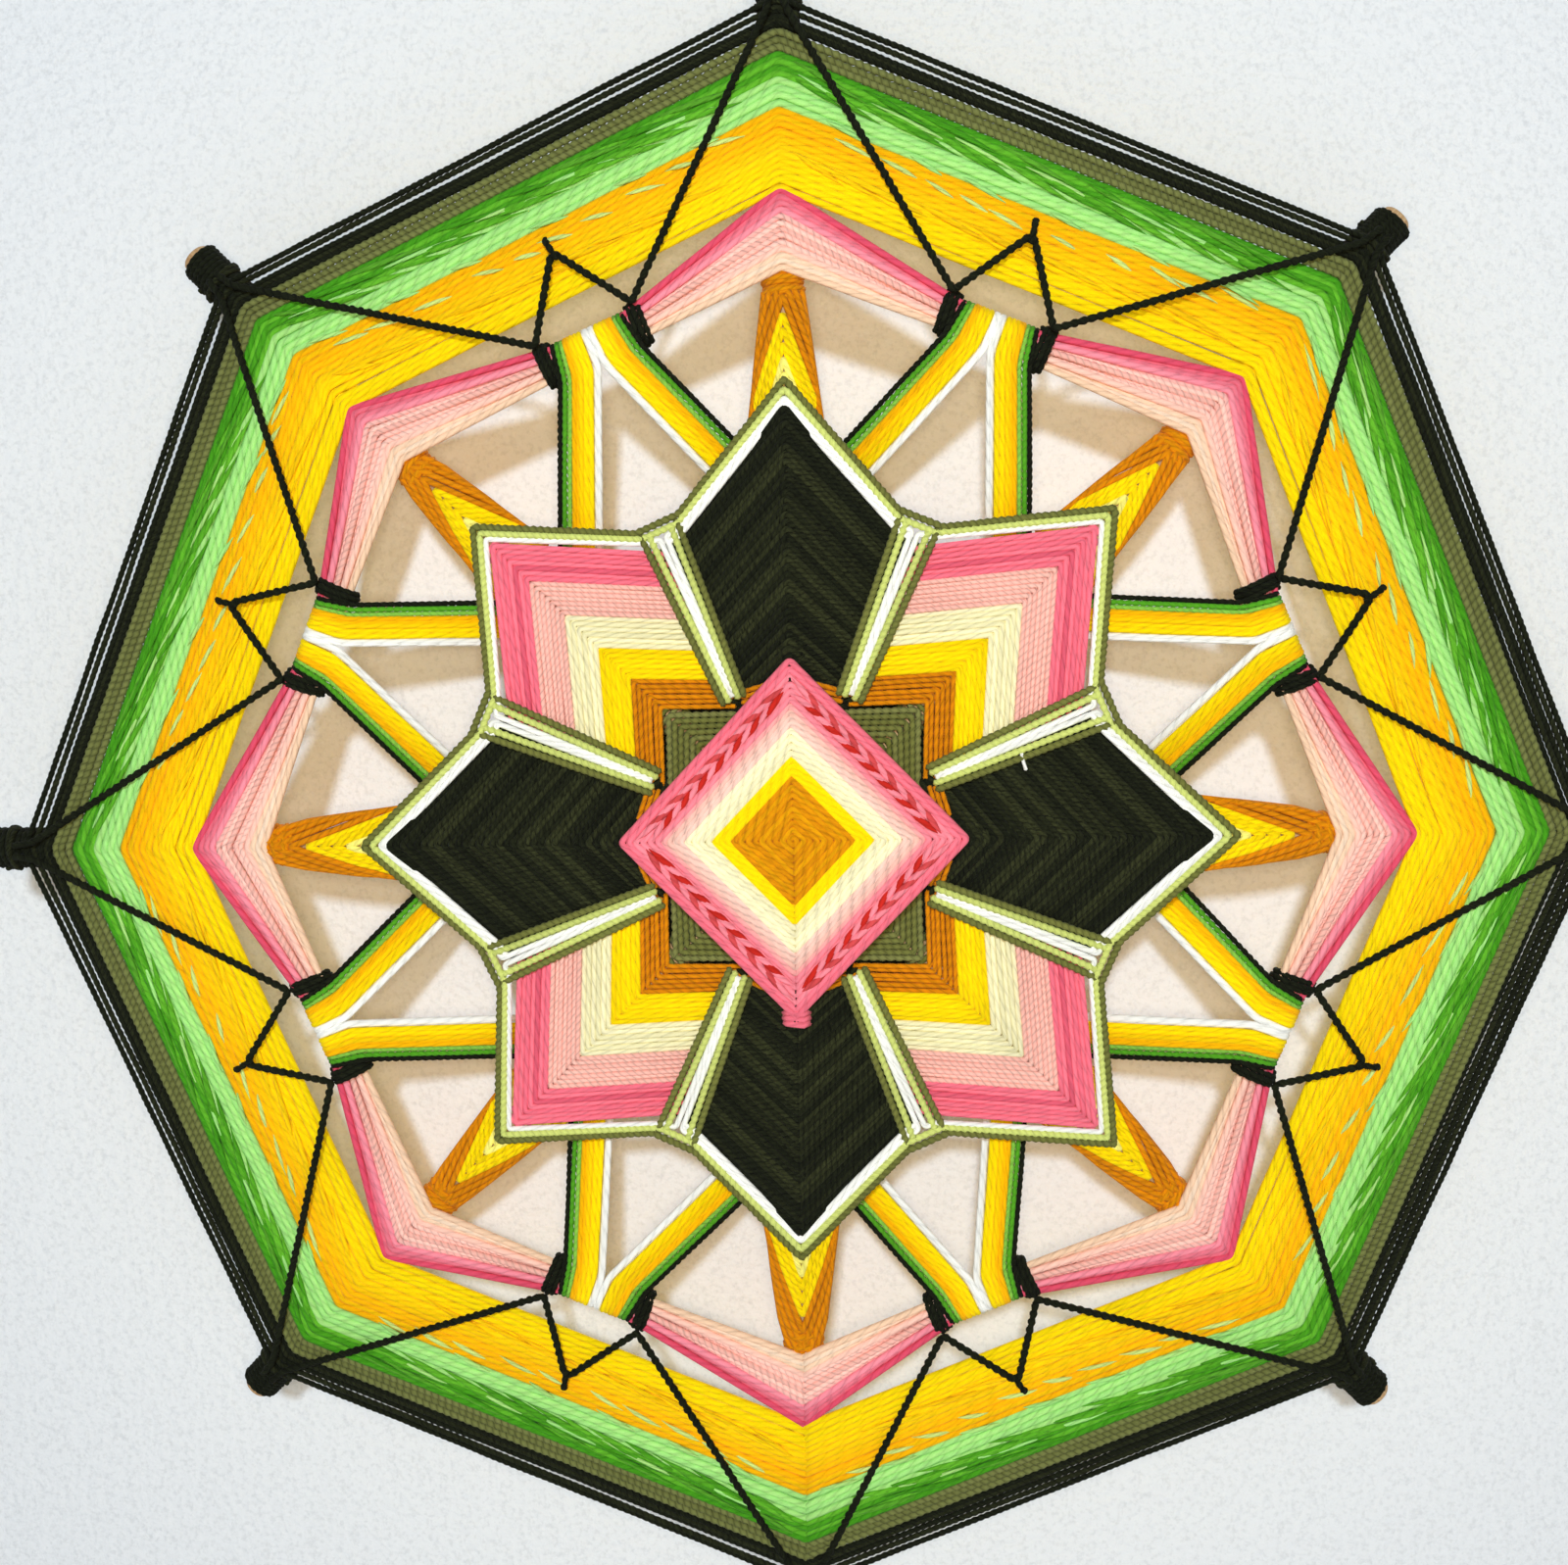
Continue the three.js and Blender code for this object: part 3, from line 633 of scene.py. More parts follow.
# Solid, then what feathered_edge takes
RIM_EDGES = (
    ("ring_green", 188.8, 191.8, 51, 10.0, 20.0, 0.62, (0.0, 0.2, 0.4), 3),
    ("ring_green", 192.4, 195.8, 54, 17.0, 26.0, 0.55, (0.5, 0.6), 2),
    ("ring_light_green", 190.6, 193.4, 55, 22.0, 26.0, 0.5, (0.0, 0.1), 1),
    ("ring_light_green", 182.4, 184.8, 53, 21.0, 13.0, 0.6, (0.0, 0.1), 1),
    ("ring_orange", 170.0, 173.6, 56, 15.0, 30.0, 0.62, (0.3, 0.5), 2))

for number, (node, name, radii, size, wander, mixes, slot, sweep) in enumerate(RIM_BANDS):
    winding = Winding(seed=20 + number, step=0.62 if "relief" in sweep else 7.0)
    for turn, middle in enumerate(radii):
        rim_round(winding, middle, size, mixes[turn % len(mixes)], wander)
    for solid, *edge in RIM_EDGES:
        if solid == node:
            feathered_edge(winding, *edge)
    if node == "ring_light_green":
        dashes(winding, seed=57)
    spin(winding, name, [node], slot, **sweep)


# Ring that the straps pinch together between the arms

PINCH_YARN, PINCH_WANDER = 0.93, 0.12
PINCH_INNER, PINCH_OUTER = 144.4, 163.4
PINCHED = 13
BUNDLE_INNER, BUNDLE_OUTER = 134.0, 140.0
BUNDLE_MIDDLE = (BUNDLE_INNER + BUNDLE_OUTER) / 2
BUNDLE_DEPTH = MIDDLE - STICK - 1.0
BUNDLE_LAYERS, BUNDLE_LAYER = 3, 1.35
# Solid, first strand, strand after the last, slot and colour mixes
PINCH_BANDS = (
    ("ring_peach", 0, 4, PEACH, (0.0, 0.3, 0.1, 1.0)),
    ("ring_salmon", 4, 9, SALMON, (0.1, 0.0, 0.3, 0.7, 0.3)),
    ("ring_pink", 9, 13, PINK, (0.45, 0.9, 0.75, 0.15)))
PINCH_PLIED = dict(sides=8, relief=0.22, pitch=4.2)
PINCH_SMOOTH = dict(sides=7, pitch=9.0, sway=0.14)

for number, (node, first, last, slot, mixes) in enumerate(PINCH_BANDS):
    sweep = PINCH_PLIED if node == "ring_salmon" else PINCH_SMOOTH
    winding = Winding(seed=40 + number, step=0.66 if "relief" in sweep else 7.0)
    for strand in range(first, last):
        share = strand / (PINCHED - 1)
        column = BUNDLE_INNER + (BUNDLE_OUTER - BUNDLE_INNER) * share
        layer = BUNDLE_DEPTH + BUNDLE_LAYER * (strand % BUNDLE_LAYERS - 1)
        middle = PINCH_INNER + (PINCH_OUTER - PINCH_INNER) * share
        rim_round(winding, middle, PINCH_YARN, mixes[strand % len(mixes)], PINCH_WANDER, (column, layer))
    spin(winding, node.removeprefix("ring_") + "_ring", [node], slot, **sweep)


# Straps from junction to junction behind the star

STRAP_YARN = 0.8
STRAP_FRONT = BUNDLE_DEPTH - BUNDLE_LAYER - PINCH_YARN - STRAP_YARN - CLEAR
STRAP_BACK = BUNDLE_DEPTH + BUNDLE_LAYER + PINCH_YARN + STRAP_YARN + CLEAR
STRAP_EDGE = BUNDLE_OUTER + PINCH_YARN + STRAP_YARN
# Step aside of the first strand and spacing, on the ring and below it
STRAP_ASIDE = ((0.62, 1.16), (0.75, 1.36))
# How the strands round the ring's edge, stand out by turns and end below it
STRAP_ROUND, STRAP_PROUD, STRAP_DROP = 1.6, 0.4, 2.6
# Behind the star: distance from the hub, half of the straight run, spacing and depths
STRAP_FOOT, STRAP_FLAT, STRAP_PITCH = 52.0, 60.0, 1.42
STRAP_LEVEL = BACK_AXIS + STICK + 3.7
STRAP_LEVELS, STRAP_LEVEL_STEP = 4, 2.05
# Solid, colour mix for each place across the strap, and slot
STRAP_BANDS = (
    ("strap_white", {0: 0.0, 0.35: 0.3}, WHITE),
    ("strap_yellow", {1.6: 0.0, 2.6: 0.05, 3.6: 0.2, 4.3: 0.45, 5: 0.5}, YELLOW),
    ("strap_green", {6: 0.9, 7: 0.3}, GREEN),
    ("strap_black", {8: 0.0}, BLACK))
STRAP_PLIED = dict(sides=8, relief=0.28, pitch=4.0, sway=0.14)
STRAP_SMOOTH = dict(sides=7, pitch=10.0, sway=0.16)


def strap_end(junction, strand, hand):
    """A strand's way from behind the pinched ring, round its outer edge and down its front."""
    narrow, wide = [hand * (first + step * strand) for first, step in STRAP_ASIDE]
    proud = STRAP_PROUD * (strand % 2)
    back, front = STRAP_BACK + proud, STRAP_FRONT - proud
    return [at_junction(junction, BUNDLE_MIDDLE, back, narrow),
            at_junction(junction, STRAP_EDGE - STRAP_ROUND, back, narrow),
            at_junction(junction, STRAP_EDGE, BUNDLE_DEPTH, narrow),
            at_junction(junction, STRAP_EDGE - STRAP_ROUND, front, narrow),
            at_junction(junction, BUNDLE_INNER - STRAP_DROP, front, wide)]


def strap_strand(junction, strand):
    """One strand of the strap from a junction to the third junction after it."""
    foot = STRAP_FOOT + STRAP_PITCH * (strand + 0.3)
    level = STRAP_LEVEL + STRAP_LEVEL_STEP * (junction % STRAP_LEVELS)
    path = strap_end(junction, strand, 1.0)
    path += [place(junction + 2, foot, level, aside) for aside in (-STRAP_FLAT, STRAP_FLAT)]
    path += strap_end(junction + 3, strand, -1.0)[::-1]
    return eased(path, 1.6)


for number, (node, strands, slot) in enumerate(STRAP_BANDS):
    sweep = STRAP_PLIED if node in ("strap_black", "strap_green") else STRAP_SMOOTH
    winding = Winding(seed=60 + number, step=0.66 if "relief" in sweep else 6.0)
    for junction in range(ARMS):
        for strand, mix in strands.items():
            winding.lay(strap_strand(junction, strand), STRAP_YARN, mix)
    spin(winding, node.removeprefix("strap_") + "_straps", [node], slot, **sweep)


# Star of eight petals

# Solid, inner and outer radius, rounds, slot and colour mixes
STAR_BANDS = (
    ("star_ochre", 48.6, 60.4, 6, OCHRE, (0.0,)),
    ("star_yellow", 60.4, 72.2, 6, YELLOW, (0.0, 0.05)),
    ("star_cream", 72.2, 84.6, 6, CREAM, (0.0, 0.3)),
    ("star_salmon", 84.6, 97.6, 7, SALMON, (0.0, 0.2)),
    ("star_pink", 97.6, 111.8, 7, PINK, (0.1, 0.0, 0.3, 0.0, 0.15, 0.0)))
STAR_PLIED = {"star_ochre": dict(sides=8, relief=0.26, pitch=6.5, sway=0.3),
              "star_salmon": dict(sides=8, relief=0.26, pitch=4.2, sway=0.12)}
STAR_SMOOTH = dict(pitch=10.0, sway=0.12)
PETAL = 0.84
STAR_START = 50.0
BLACK_START, BLACK_END, BLACK_PITCH = 35.0, 111.6, 1.9
# Distances of a square's side and of a slot between petals, for a corner at distance one
SIDE = cos(2 * HALF_STEP)
SLOT = SIDE / cos(HALF_STEP)
SLOT_SHRINK = 0.93
SLOT_STAGGER = 0.5
BLACK_SPREAD = 1.03
# How far each petal's tip is out of true at the outer cord, from the lowest arm round by the right
TIP_REACH = 118.0
TIP_UNEVEN = (-4.8, 1.7, -2.7, 2.0, 0.9, 0.5, -3.4, 0.0)
# First rounds: distance from the hub, depth and step aside at both ends, and steps from row to row
FIRST_ENDS = ((38.0, over(0, PETAL, -2.2), 6.0), (36.0, MIDDLE - 2.4, 13.0))
FIRST_ROWS = (0.0, 1.5, 3.0)


def tip_radius(arm, radius):
    """Where a round of the star crosses an arm; the petals are a little uneven."""
    return radius * (1 + TIP_UNEVEN[arm % ARMS] / TIP_REACH)


def slot_radius(radius):
    """Where a round crosses the slot between two petals, a little drawn in."""
    return SLOT * (STAR_START + (radius - STAR_START) * SLOT_SHRINK)


def star_round(first, radius, size, odd, lift=0.0, spread=1.0):
    """A round over one cross and behind the other; spread widens it in the slots."""
    path = []
    for step in range(ARMS + 1):
        arm = first + step
        if step % 2 == 0:
            path.append(place(arm, tip_radius(arm, radius), over(arm, size, lift)))
        else:
            path.append(place(arm, radius * SIDE, under(arm, size)))
        if step < ARMS:
            stagger = SLOT_STAGGER if odd else -SLOT_STAGGER
            path.append(place(arm + 0.5, slot_radius(radius * spread), MIDDLE + stagger))
    return eased(path, 0.9)


def first_rows(winding):
    """The first rounds, which show on both sides of the front arms next to the eye."""
    for arm in FRONT_ARMS:
        for hand in HANDS:
            for row in FIRST_ROWS:
                winding.lay([place(arm, radius + row, depth, aside * hand)
                             for radius, depth, aside in FIRST_ENDS], PETAL)


for number, (node, inner, outer, rounds, slot, mixes) in enumerate(STAR_BANDS):
    winding = Winding(seed=80 + number, step=0.7 if node in STAR_PLIED else 7.0)
    for turn in range(rounds):
        mix = mixes[turn % len(mixes)]
        radius = inner + (outer - inner) * (turn + 0.5) / rounds
        winding.lay(star_round(1, radius, PETAL, turn % 2), PETAL, mix)
        for arm in BACK_ARMS:
            hold(winding, arm, tip_radius(arm, radius), PETAL, mix)
    if node == "star_ochre":
        first_rows(winding)
    spin(winding, node.removeprefix("star_") + "_petals", [node], slot, **STAR_PLIED.get(node, STAR_SMOOTH))

winding = Winding(seed=90, step=4.0)
for radius in np.arange(BLACK_START, BLACK_END, BLACK_PITCH):
    size = PETAL * varied(winding.random, 0.98, 0.12)
    odd = winding.random.random() < 0.5
    lift = 0.45 * winding.random.random()
    mix = 0.45 * winding.random.random() ** 2
    winding.lay(star_round(0, radius, size, odd, lift, BLACK_SPREAD), size, mix)
    for arm in FRONT_ARMS:
        hold(winding, arm, tip_radius(arm, radius), PETAL, 0.2 * winding.random.random())
spin(winding, "black_petals", ["star_black"], BLACK, pitch=4.0, sway=0.16)


# Cords that outline the petals and lace the slots between them

WHITE_CORD = 0.8
LIGHT_MIX, OLIVE_MIX = 0.5, 0.2
OUTLINE_FOOT = 41.0
CORD_SWEEP = dict(sides=8, relief=0.34, pitch=3.8, sway=0.08)
# A loose end of white yarn on the right-hand petal
LOOSE_END = ((60.2, -22.8, 21.6), (60.6, -23.2, 19.4), (61.2, -23.9, 17.4))


def petal_front(slot, radius, aside):
    """Depth of the petals' face near a slot."""
    front_side = -1.0 if slot % 2 == 0 else 1.0
    share = abs(aside) / (radius * tan(HALF_STEP))
    arm = 0 if aside * front_side > 0 else 1
    return MIDDLE + (over(arm, PETAL) - MIDDLE) * share - PETAL


def notch_point(slot, radius, aside, size):
    """A point on the petals' faces beside a slot."""
    return place(slot + 0.5, radius, petal_front(slot, radius, aside) - size, aside)


def petal_outline(arm, tip, corner):
    """A white strand up a slot, round the tip of one petal and down the next slot."""
    # Distance from the hub, step aside from the slot and lift
    bends = ((OUTLINE_FOOT, 0.35, 0.8), (corner + 0.3, 0.9, 0.5), (corner + 0.6, 4.4, 0.0))
    path = [notch_point(arm - 1, radius, aside, WHITE_CORD + lift) for radius, aside, lift in bends]
    path.append(place(arm, tip_radius(arm, tip), over(arm, WHITE_CORD)))
    path += [notch_point(arm, radius, -aside, WHITE_CORD + lift) for radius, aside, lift in bends[::-1]]
    return eased(path, 0.9)


def star_outline(tip, corner, aside):
    """A cord right round the star, straight across the notches."""
    path = []
    for arm in range(ARMS + 1):
        path.append(place(arm, tip_radius(arm, tip), over(arm, CORD)))
        path += [notch_point(arm, corner, side, CORD) for side in (-aside, aside)]
    return eased(path[:-1], 0.8)


white = Winding(seed=100, step=5.0)
light = Winding(seed=101, step=0.6)
olive = Winding(seed=102, step=0.6)
light.lay(star_outline(tip=115.6, corner=88.2, aside=5.2), CORD, LIGHT_MIX)
olive.lay(star_outline(tip=TIP_REACH, corner=90.2, aside=6.3), CORD, OLIVE_MIX)
for arm in range(ARMS):
    white.lay(petal_outline(arm, tip=113.4, corner=86.0), WHITE_CORD)
    if arm % 2 == 0:
        white.lay(petal_outline(arm, tip=111.8, corner=84.4), WHITE_CORD)
# Cords in the slots: distance from the hub, step aside and lift at both ends
SLOT_CORDS = ((light, LIGHT_MIX, ((87.6, 3.2, 0.3), (40.0, 1.4, 0.5))),
              (olive, OLIVE_MIX, ((89.0, 5.3, 0.0), (39.8, 3.1, 0.0))))
for slot in range(ARMS):
    for hand in HANDS:
        for cord, mix, ends in SLOT_CORDS:
            cord.lay([notch_point(slot, radius, aside * hand, CORD + lift) for radius, aside, lift in ends],
                     CORD, mix)
white.lay(LOOSE_END, 0.5)

spin(white, "white_outline", ["edging_white"], WHITE, sides=8, pitch=9.0)
spin(light, "light_green_outline", ["edging_light_green"], LIGHT_GREEN, **CORD_SWEEP)
spin(olive, "olive_outline", ["edging_olive"], OLIVE, **CORD_SWEEP)


# Square eye behind the front cross and diamond eye before it

SQUARE_ROUNDS, SQUARE_INNER, SQUARE_PITCH, SQUARE_OUTER = 8, 31.0, 2.2, 48.1
SQUARE_YARN, SQUARE_HOLD = 1.0, 0.9

winding = Winding(seed=110, step=0.66)
for turn in range(SQUARE_ROUNDS):
    radius = SQUARE_INNER + SQUARE_PITCH * turn
    mix = 0.6 * winding.random.random()
    winding.lay(star_round(1, radius, SQUARE_YARN, False), SQUARE_YARN, mix)
    for arm in BACK_ARMS:
        hold(winding, arm, radius, SQUARE_HOLD, mix)
for arm in BACK_ARMS:
    hold(winding, arm, SQUARE_OUTER, SQUARE_HOLD, 0.0)
spin(winding, "square_eye_yarn", ["square_eye"], OLIVE, sides=8, relief=0.34, pitch=4.6)

# Solid, inner and outer radius, rounds, slot and colour mixes
EYE_BANDS = (
    ("eye_core", 0.4, 16.6, 9, OCHRE, (0.06, 0.1, 0.04)),
    ("eye_yellow", 16.6, 21.6, 3, YELLOW, (0.0,)),
    ("eye_cream", 21.6, 29.0, 4, CREAM, (1.0, 0.8, 0.9, 0.6)),
    ("eye_light_pink", 29.0, 35.0, 4, SALMON, (0.5, 0.5, 0.2, 0.9)),
    ("eye_pink_red", 35.0, 42.6, 4, RED, (0.0,)),
    ("eye_border", 42.6, 46.4, 2, PINK, (0.0, 0.1)))
EYE_YARN, EYE_HOLD, EYE_SLACK = 0.95, 0.8, 0.15
EYE_TALL = 1.04
BRAID_MIDDLE, BRAID_HALF, BRAID_STITCH, BRAID_YARN = 39.9, 2.4, 10.5, 0.85
BRAID_START, BRAID_END, BRAID_PITCH = 1.6, 46.0, 6.8
# The tied end: half width, spacing, and distance from the hub, depth and step aside at its bends
TIE_YARN, TIE_PITCH = 0.9, 1.5
TIE_BENDS = ((46.2, FRONT_AXIS - 3.2, -3.3), (46.0, over(0, TIE_YARN, 0.2), -1.8),
             (46.4, over(0, TIE_YARN, 0.4), 1.8), (46.2, FRONT_AXIS - 3.2, 3.3))


def eye_corner(arm, radius):
    """The diamond is a little taller than wide."""
    return radius * (EYE_TALL if arm % 4 == 0 else 1.0)


def braid_stitch(winding, arm, start, mixes):
    """Two strands that meet in a point, as in a plait along one side of the diamond."""
    ends = [(near, eye_corner(near, BRAID_MIDDLE) - BRAID_MIDDLE) for near in (arm, arm + 2)]
    length = BRAID_MIDDLE * sqrt(2)
    parts = (start / length, (start + BRAID_STITCH) / length)
    for side, mix in zip(HANDS, mixes):
        radii = (BRAID_MIDDLE + 0.2 * side, BRAID_MIDDLE + BRAID_HALF * side)
        slanting_strand(winding, ends, parts, radii, BRAID_YARN, mix, EYE_YARN)


for number, (node, inner, outer, rounds, slot, mixes) in enumerate(EYE_BANDS):
    winding = Winding(seed=120 + number, step=5.0)
    for turn in range(rounds):
        radius = inner + (outer - inner) * (turn + 0.5) / rounds
        mix = mixes[turn % len(mixes)]
        path = [place(arm, eye_corner(arm, radius) + winding.random.normal(0, 0.06),
                      over(arm, EYE_YARN, varied(winding.random, CLEAR, EYE_SLACK)))
                for arm in range(0, ARMS + 1, 2)]
        winding.lay(eased(path, 0.9), EYE_YARN, mix)
        if node != "eye_border":
            for arm in FRONT_ARMS:
                hold(winding, arm, eye_corner(arm, radius), EYE_HOLD, mix)
    if node == "eye_pink_red":
        for arm in FRONT_ARMS:
            for start in np.arange(BRAID_START, BRAID_END, BRAID_PITCH):
                braid_stitch(winding, arm, start, (1.0, 0.8))
                braid_stitch(winding, arm, start + BRAID_PITCH / 2, (0.0, 0.05))
    if node == "eye_border":
        # The end of the yarn is tied off below the lowest corner.
        for row in range(3):
            path = [place(0, radius + TIE_PITCH * row, depth, aside) for radius, depth, aside in TIE_BENDS]
            winding.lay(path, TIE_YARN, 0.1)
    spin(winding, node + "_yarn", [node], slot, sides=7, pitch=9.0, sway=0.12)


# Spindles on the arms, outside the star

SPINDLE_YARN = 0.9
SPINDLE_COLLAR = 144.2
SPINDLE_TOP, SPINDLE_FOOT, SPINDLE_ROWS = 141.0, 102.0, 9
SPINDLE_HALF, SPINDLE_FLARE, SPINDLE_SLANT = 4.8, 0.13, 0.36
SPINDLE_DIP, DIP_START, DIP_LENGTH = 1.9, 2.0, 5.0
# Turns in all, those that are ochre, and those before the pale ones; then the first tip and the step
SPINDLE_TURNS, OCHRE_TURNS, YELLOW_TURNS = 10, 4, 7
OCHRE_TIPS, YELLOW_TIPS = (8.0, 5.0), (3.2, 3.7)
COLLAR_YARN, COLLAR_TURNS, COLLAR_LENGTH, BACK_YARN = 0.75, 6, 7.8, 0.7


def spindle_strand(arm, tip, hand, face):
    """Half of a V of yarn that opens towards the hub; face is -1 before the stick and 1 behind it."""
    path = []
    for radius in np.linspace(min(tip, SPINDLE_TOP), SPINDLE_FOOT, SPINDLE_ROWS):
        half_width = SPINDLE_HALF + SPINDLE_FLARE * (SPINDLE_TOP - radius)
        aside = min(SPINDLE_SLANT * (tip - radius), half_width)
        height = (STICK + SPINDLE_YARN) * sqrt(max(0.0, 1 - (aside / (half_width + 0.5)) ** 2))
        # Close to the star the strands slip under its outline.
        dip = (tip_radius(arm, TIP_REACH) + DIP_START - radius) / DIP_LENGTH
        height -= SPINDLE_DIP * min(1.0, max(0.0, dip))
        path.append(place(arm, radius, axis(arm) + face * height, hand * aside))
    return path


for arm in range(ARMS):
    winding = Winding(seed=140 + arm, step=4.0)
    collar = rim_radius(arm, SPINDLE_COLLAR)
    for face in HANDS:
        for hand in HANDS:
            for turn in range(SPINDLE_TURNS):
                mix = 0.0 if turn < OCHRE_TURNS else 0.5 if turn < YELLOW_TURNS else 1.0
                first, step = OCHRE_TIPS if turn < OCHRE_TURNS else YELLOW_TIPS
                tip = collar + (first - step * turn)
                winding.lay(spindle_strand(arm, tip, hand, face), SPINDLE_YARN, mix)
    winding.lay(hoop(arm, collar - COLLAR_LENGTH, COLLAR_YARN, 0, 360 * COLLAR_TURNS, drift=COLLAR_LENGTH,
                     count=72), COLLAR_YARN)
    # Two turns slant back over the collar.
    winding.lay(hoop(arm, collar - 0.6, BACK_YARN, 40, -360 * 2, drift=-6.0, gap=0.5, count=26),
                BACK_YARN, 0.03)
    spin(winding, f"spindle_{arm}_yarn", [f"spindle_{arm}"], OCHRE, pitch=6.0, sway=0.22)


# Wraps at the stick ends, and the cord that laces the rim to the pinched ring

WRAP_YARN, WRAP_TURNS = 0.84, 14
WRAP_INNER, WRAP_OUTER = 202.6, 220.2
WRAP_CROSS, CROSS_YARN = 210.6, 0.7
WRAP_SWEEP = dict(sides=8, relief=0.22, pitch=3.8, sway=0.14)

for arm in range(ARMS):
    winding = Winding(seed=160 + arm, step=0.8)
    inner = rim_radius(arm, WRAP_INNER)
    turns = hoop(arm, inner, WRAP_YARN, 0, 360 * WRAP_TURNS, drift=WRAP_OUTER - inner, gap=0.05, count=170)
    winding.lay(turns, WRAP_YARN)
    for lean in (-1, 1):
        tie = hoop(arm, WRAP_CROSS, CROSS_YARN, 100 * lean, 460 * lean, drift=3.0 + lean, gap=1.0, count=18)
        winding.lay(tie, CROSS_YARN, 0.2)
    spin(winding, f"tip_wrap_{arm}_yarn", [f"tip_wrap_{arm}"], BLACK, **WRAP_SWEEP)

KNOT_RADIUS, KNOT_ASIDE = 142.4, 13.6
KNOT_DEPTH = STRAP_FRONT - 0.6 - LACE + 0.8
CATCH_RADIUS, CATCH_ASIDE = 161.4, 0.8
CATCH_DEPTH = MIDDLE - STICK - 3.2 - LACE
# Over a rim corner: distance from the hub, lift, drop and step aside
LACING_CORNER = ((212.4, 1.8, 0.6, -1.4), (207.0, 2.0, 0.0, -2.2))
# A short end that stands off each catch: steps outwards, backwards and aside
CATCH_END = ((-1.2, -0.9, -0.5), (3.2, -0.5, 0.4), (4.8, 1.6, 0.6))
END_YARN, BUNDLE_WRAP_YARN = LACE * 0.9, LACE * 0.8
# Turns of the cord round the pinched ring: half axes, step aside of the first and spacing
BUNDLE_WRAPS, WRAP_WIDE, WRAP_DEEP = 3, 5.2, 3.4
WRAP_ASIDE, WRAP_PITCH, WRAP_LEAN, WRAP_SWELL = 11.2, 1.25, 0.9, 0.4


def lacing_half(arm, junction, hand):
    """The cord from a rim corner down to the knot beside a junction and up to the catch before it."""
    path = [place(arm, rim_radius(arm, radius), over(arm, LACE, lift) + drop, aside * hand)
            for radius, lift, drop, aside in LACING_CORNER]
    return path + [at_junction(junction, KNOT_RADIUS, KNOT_DEPTH, KNOT_ASIDE * hand),
                   at_junction(junction, CATCH_RADIUS, CATCH_DEPTH, CATCH_ASIDE * hand)]


def bundle_wrap(arm, aside, lean, swell):
    """A turn of the lacing cord round the pinched ring."""
    rows = []
    for part in np.linspace(0.0, 1.0, 17):
        angle = FULL_TURN * part
        rows.append(at_junction(arm, BUNDLE_MIDDLE + 0.3 + (WRAP_WIDE + swell) * cos(angle),
                                BUNDLE_DEPTH + (WRAP_DEEP + swell) * sin(angle), aside + lean * part))
    return rows


winding = Winding(seed=180, step=0.62)
for arm in range(ARMS):
    winding.lay(eased(lacing_half(arm, arm, -1.0) + lacing_half(arm + 1, arm, 1.0)[::-1]), LACE)
    winding.lay([at_junction(arm, CATCH_RADIUS + rise, CATCH_DEPTH + back, aside)
                 for rise, back, aside in CATCH_END], END_YARN)
    for hand in HANDS:
        for turn in range(BUNDLE_WRAPS):
            aside = hand * (WRAP_ASIDE + WRAP_PITCH * turn)
            wrap = bundle_wrap(arm, aside, hand * WRAP_LEAN, WRAP_SWELL * (turn == 1))
            winding.lay(wrap, BUNDLE_WRAP_YARN)
spin(winding, "lacing", ["lacing_cord"], BLACK, sides=8, relief=0.28, pitch=4.6, sway=0.18)


# Wall, floor, light and camera

# The wall's depth and top, the cove at its foot, the floor's height and half of the sheet's width
WALL, WALL_TOP, COVE, FLOOR, SPAN = 0.012, 3.0, 0.15, -0.5, 4.0


def backdrop_finish():
    """Plain pale plaster, open from behind so that the ornament's back can be seen and lit."""
    material, tree = empty_material("pale_plaster")
    here = add(tree, "TexCoord").outputs["Object"]
    grain = noise(tree, here, scale=330.0, detail=3.0)
    bump = out(tree, "Bump", {"Strength": 0.7, "Distance": 0.0014, "Height": grain})
    # Painted shade: the plaster is a little darker and cooler behind the ornament than farther out.
    away = add(tree, "VectorMath", {0: here}, operation="LENGTH").outputs["Value"]
    painted_shade_tint = ramp_colour(tree, away, ((0.16, "#f0eef1"), (0.24, "#f5f4f4")))
    # Painted shade: fine specks of the plaster are darkened a little, as light across its grain would show
    # them.
    speck_shade_mask = noise(tree, here, scale=800.0, detail=2.0)
    shade = out(tree, "MapRange", {"Value": speck_shade_mask, "From Min": 0.3, "From Max": 0.5, "To Min": 0.9})
    plaster = out(tree, "BsdfDiffuse", {"Color": scaled(tree, painted_shade_tint, shade), "Normal": bump})
    clear = out(tree, "BsdfTransparent")
    open_to = maths(tree, "MAXIMUM", add(tree, "NewGeometry").outputs["Backfacing"],
                    add(tree, "LightPath").outputs["Is Shadow Ray"])
    mix = out(tree, "MixShader", {0: open_to, 1: plaster, 2: clear})
    add(tree, "OutputMaterial", {0: mix})
    return material


def backdrop():
    """A sheet that runs down the wall and out along the floor."""
    rows = [(WALL, WALL_TOP), (WALL, FLOOR + COVE)]
    for angle in np.radians(np.arange(10.0, 91.0, 10.0)):
        rows.append((WALL - COVE * (1 - cos(angle)), FLOOR + COVE - COVE * sin(angle)))
    rows.append((-SPAN, FLOOR))
    points = [(x, depth, height) for depth, height in rows for x in (-SPAN, SPAN)]
    faces = [(2 * row, 2 * row + 2, 2 * row + 3, 2 * row + 1) for row in range(len(rows) - 1)]
    mesh = bpy.data.meshes.new("backdrop")
    mesh.from_pydata(points, [], faces)
    mesh.polygons.foreach_set("use_smooth", [True] * len(faces))
    mesh.materials.append(backdrop_finish())
    sheet = linked("backdrop", mesh)


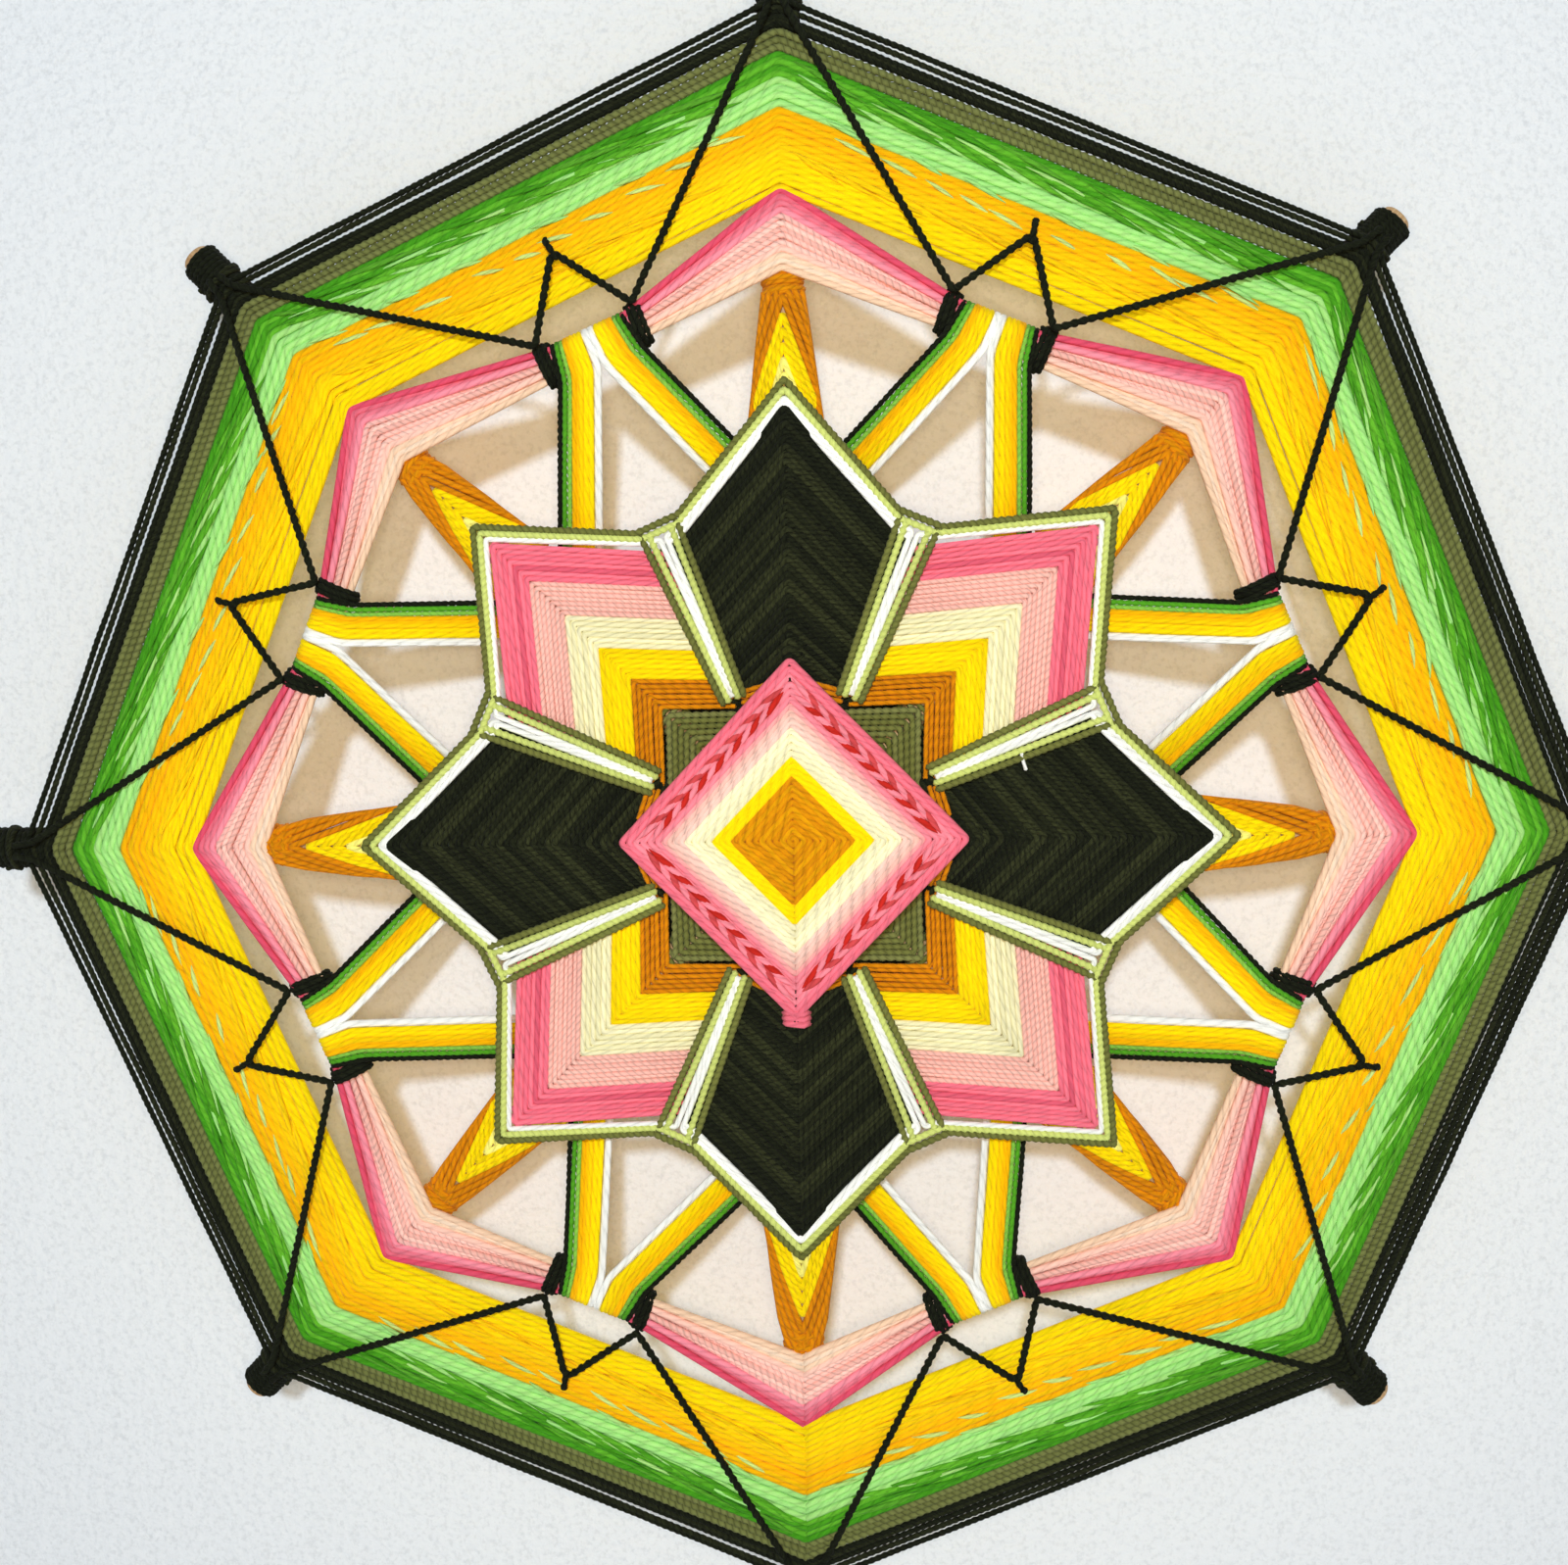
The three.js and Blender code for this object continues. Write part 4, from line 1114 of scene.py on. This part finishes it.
def lamp(name, where, size, power, colour):
    """A soft square light aimed at the middle of the ornament."""
    data = bpy.data.lights.new(name, "AREA")
    data.size = size
    data.energy = power
    data.color = colour
    made = linked(name, data)
    made.location = where
    aim = Vector((0.0, MIDDLE * MM, 0.0)) - Vector(where)
    made.rotation_euler = aim.to_track_quat("-Z", "Y").to_euler()


backdrop()
lamp("key", where=(0.0, -1.4, 0.54), size=0.11, power=13.2, colour=(0.7, 0.85, 1.0))
lamp("fill", where=(0.0233, -0.48, 0.0602), size=0.08, power=0.9, colour=(1.0, 0.84, 0.56))
lamp("back_fill", where=(0.3, 1.6, 0.6), size=0.8, power=14.0, colour=(1.0, 0.98, 0.96))

# The sky lights the ornament faintly and looks brighter where it is seen.
SKY_LIGHT, SKY_SEEN = 0.18, 0.7
SKY_COLOUR = (1.0, 0.94, 0.86, 1.0)
world = bpy.data.worlds.new("studio")
bpy.context.scene.world = world
world.use_nodes = True
tree = world.node_tree
tree.nodes.clear()
seen = add(tree, "LightPath").outputs
direct = maths(tree, "MAXIMUM", seen["Is Camera Ray"],
               maths(tree, "MAXIMUM", seen["Is Glossy Ray"], seen["Is Transmission Ray"]))
strength = maths(tree, "MULTIPLY_ADD", direct, SKY_SEEN, SKY_LIGHT)
sky = out(tree, "Background", {"Color": SKY_COLOUR, "Strength": strength})
add(tree, "OutputWorld", {0: sky})

# The camera's place in metres and its turn in degrees, as fitted to the corners of the rings
CAMERA_PLACE = (0.0233, -0.4627, 0.0602)
CAMERA_TURN = (5.91, -0.97, -3.28)
turned = Vector([radians(angle) for angle in CAMERA_TURN])
view = Matrix.Rotation(turned.length, 3, turned.normalized())
lens = bpy.data.cameras.new("camera")
lens.lens = 38.4
lens.sensor_width = 36.0
lens.sensor_fit = "HORIZONTAL"
camera = linked("camera", lens)
camera.matrix_world = (Matrix.Translation(CAMERA_PLACE)
                       @ Matrix((view[0], view[2], -view[1])).transposed().to_4x4())
bpy.context.scene.camera = camera
bpy.context.scene.view_settings.view_transform = "Standard"
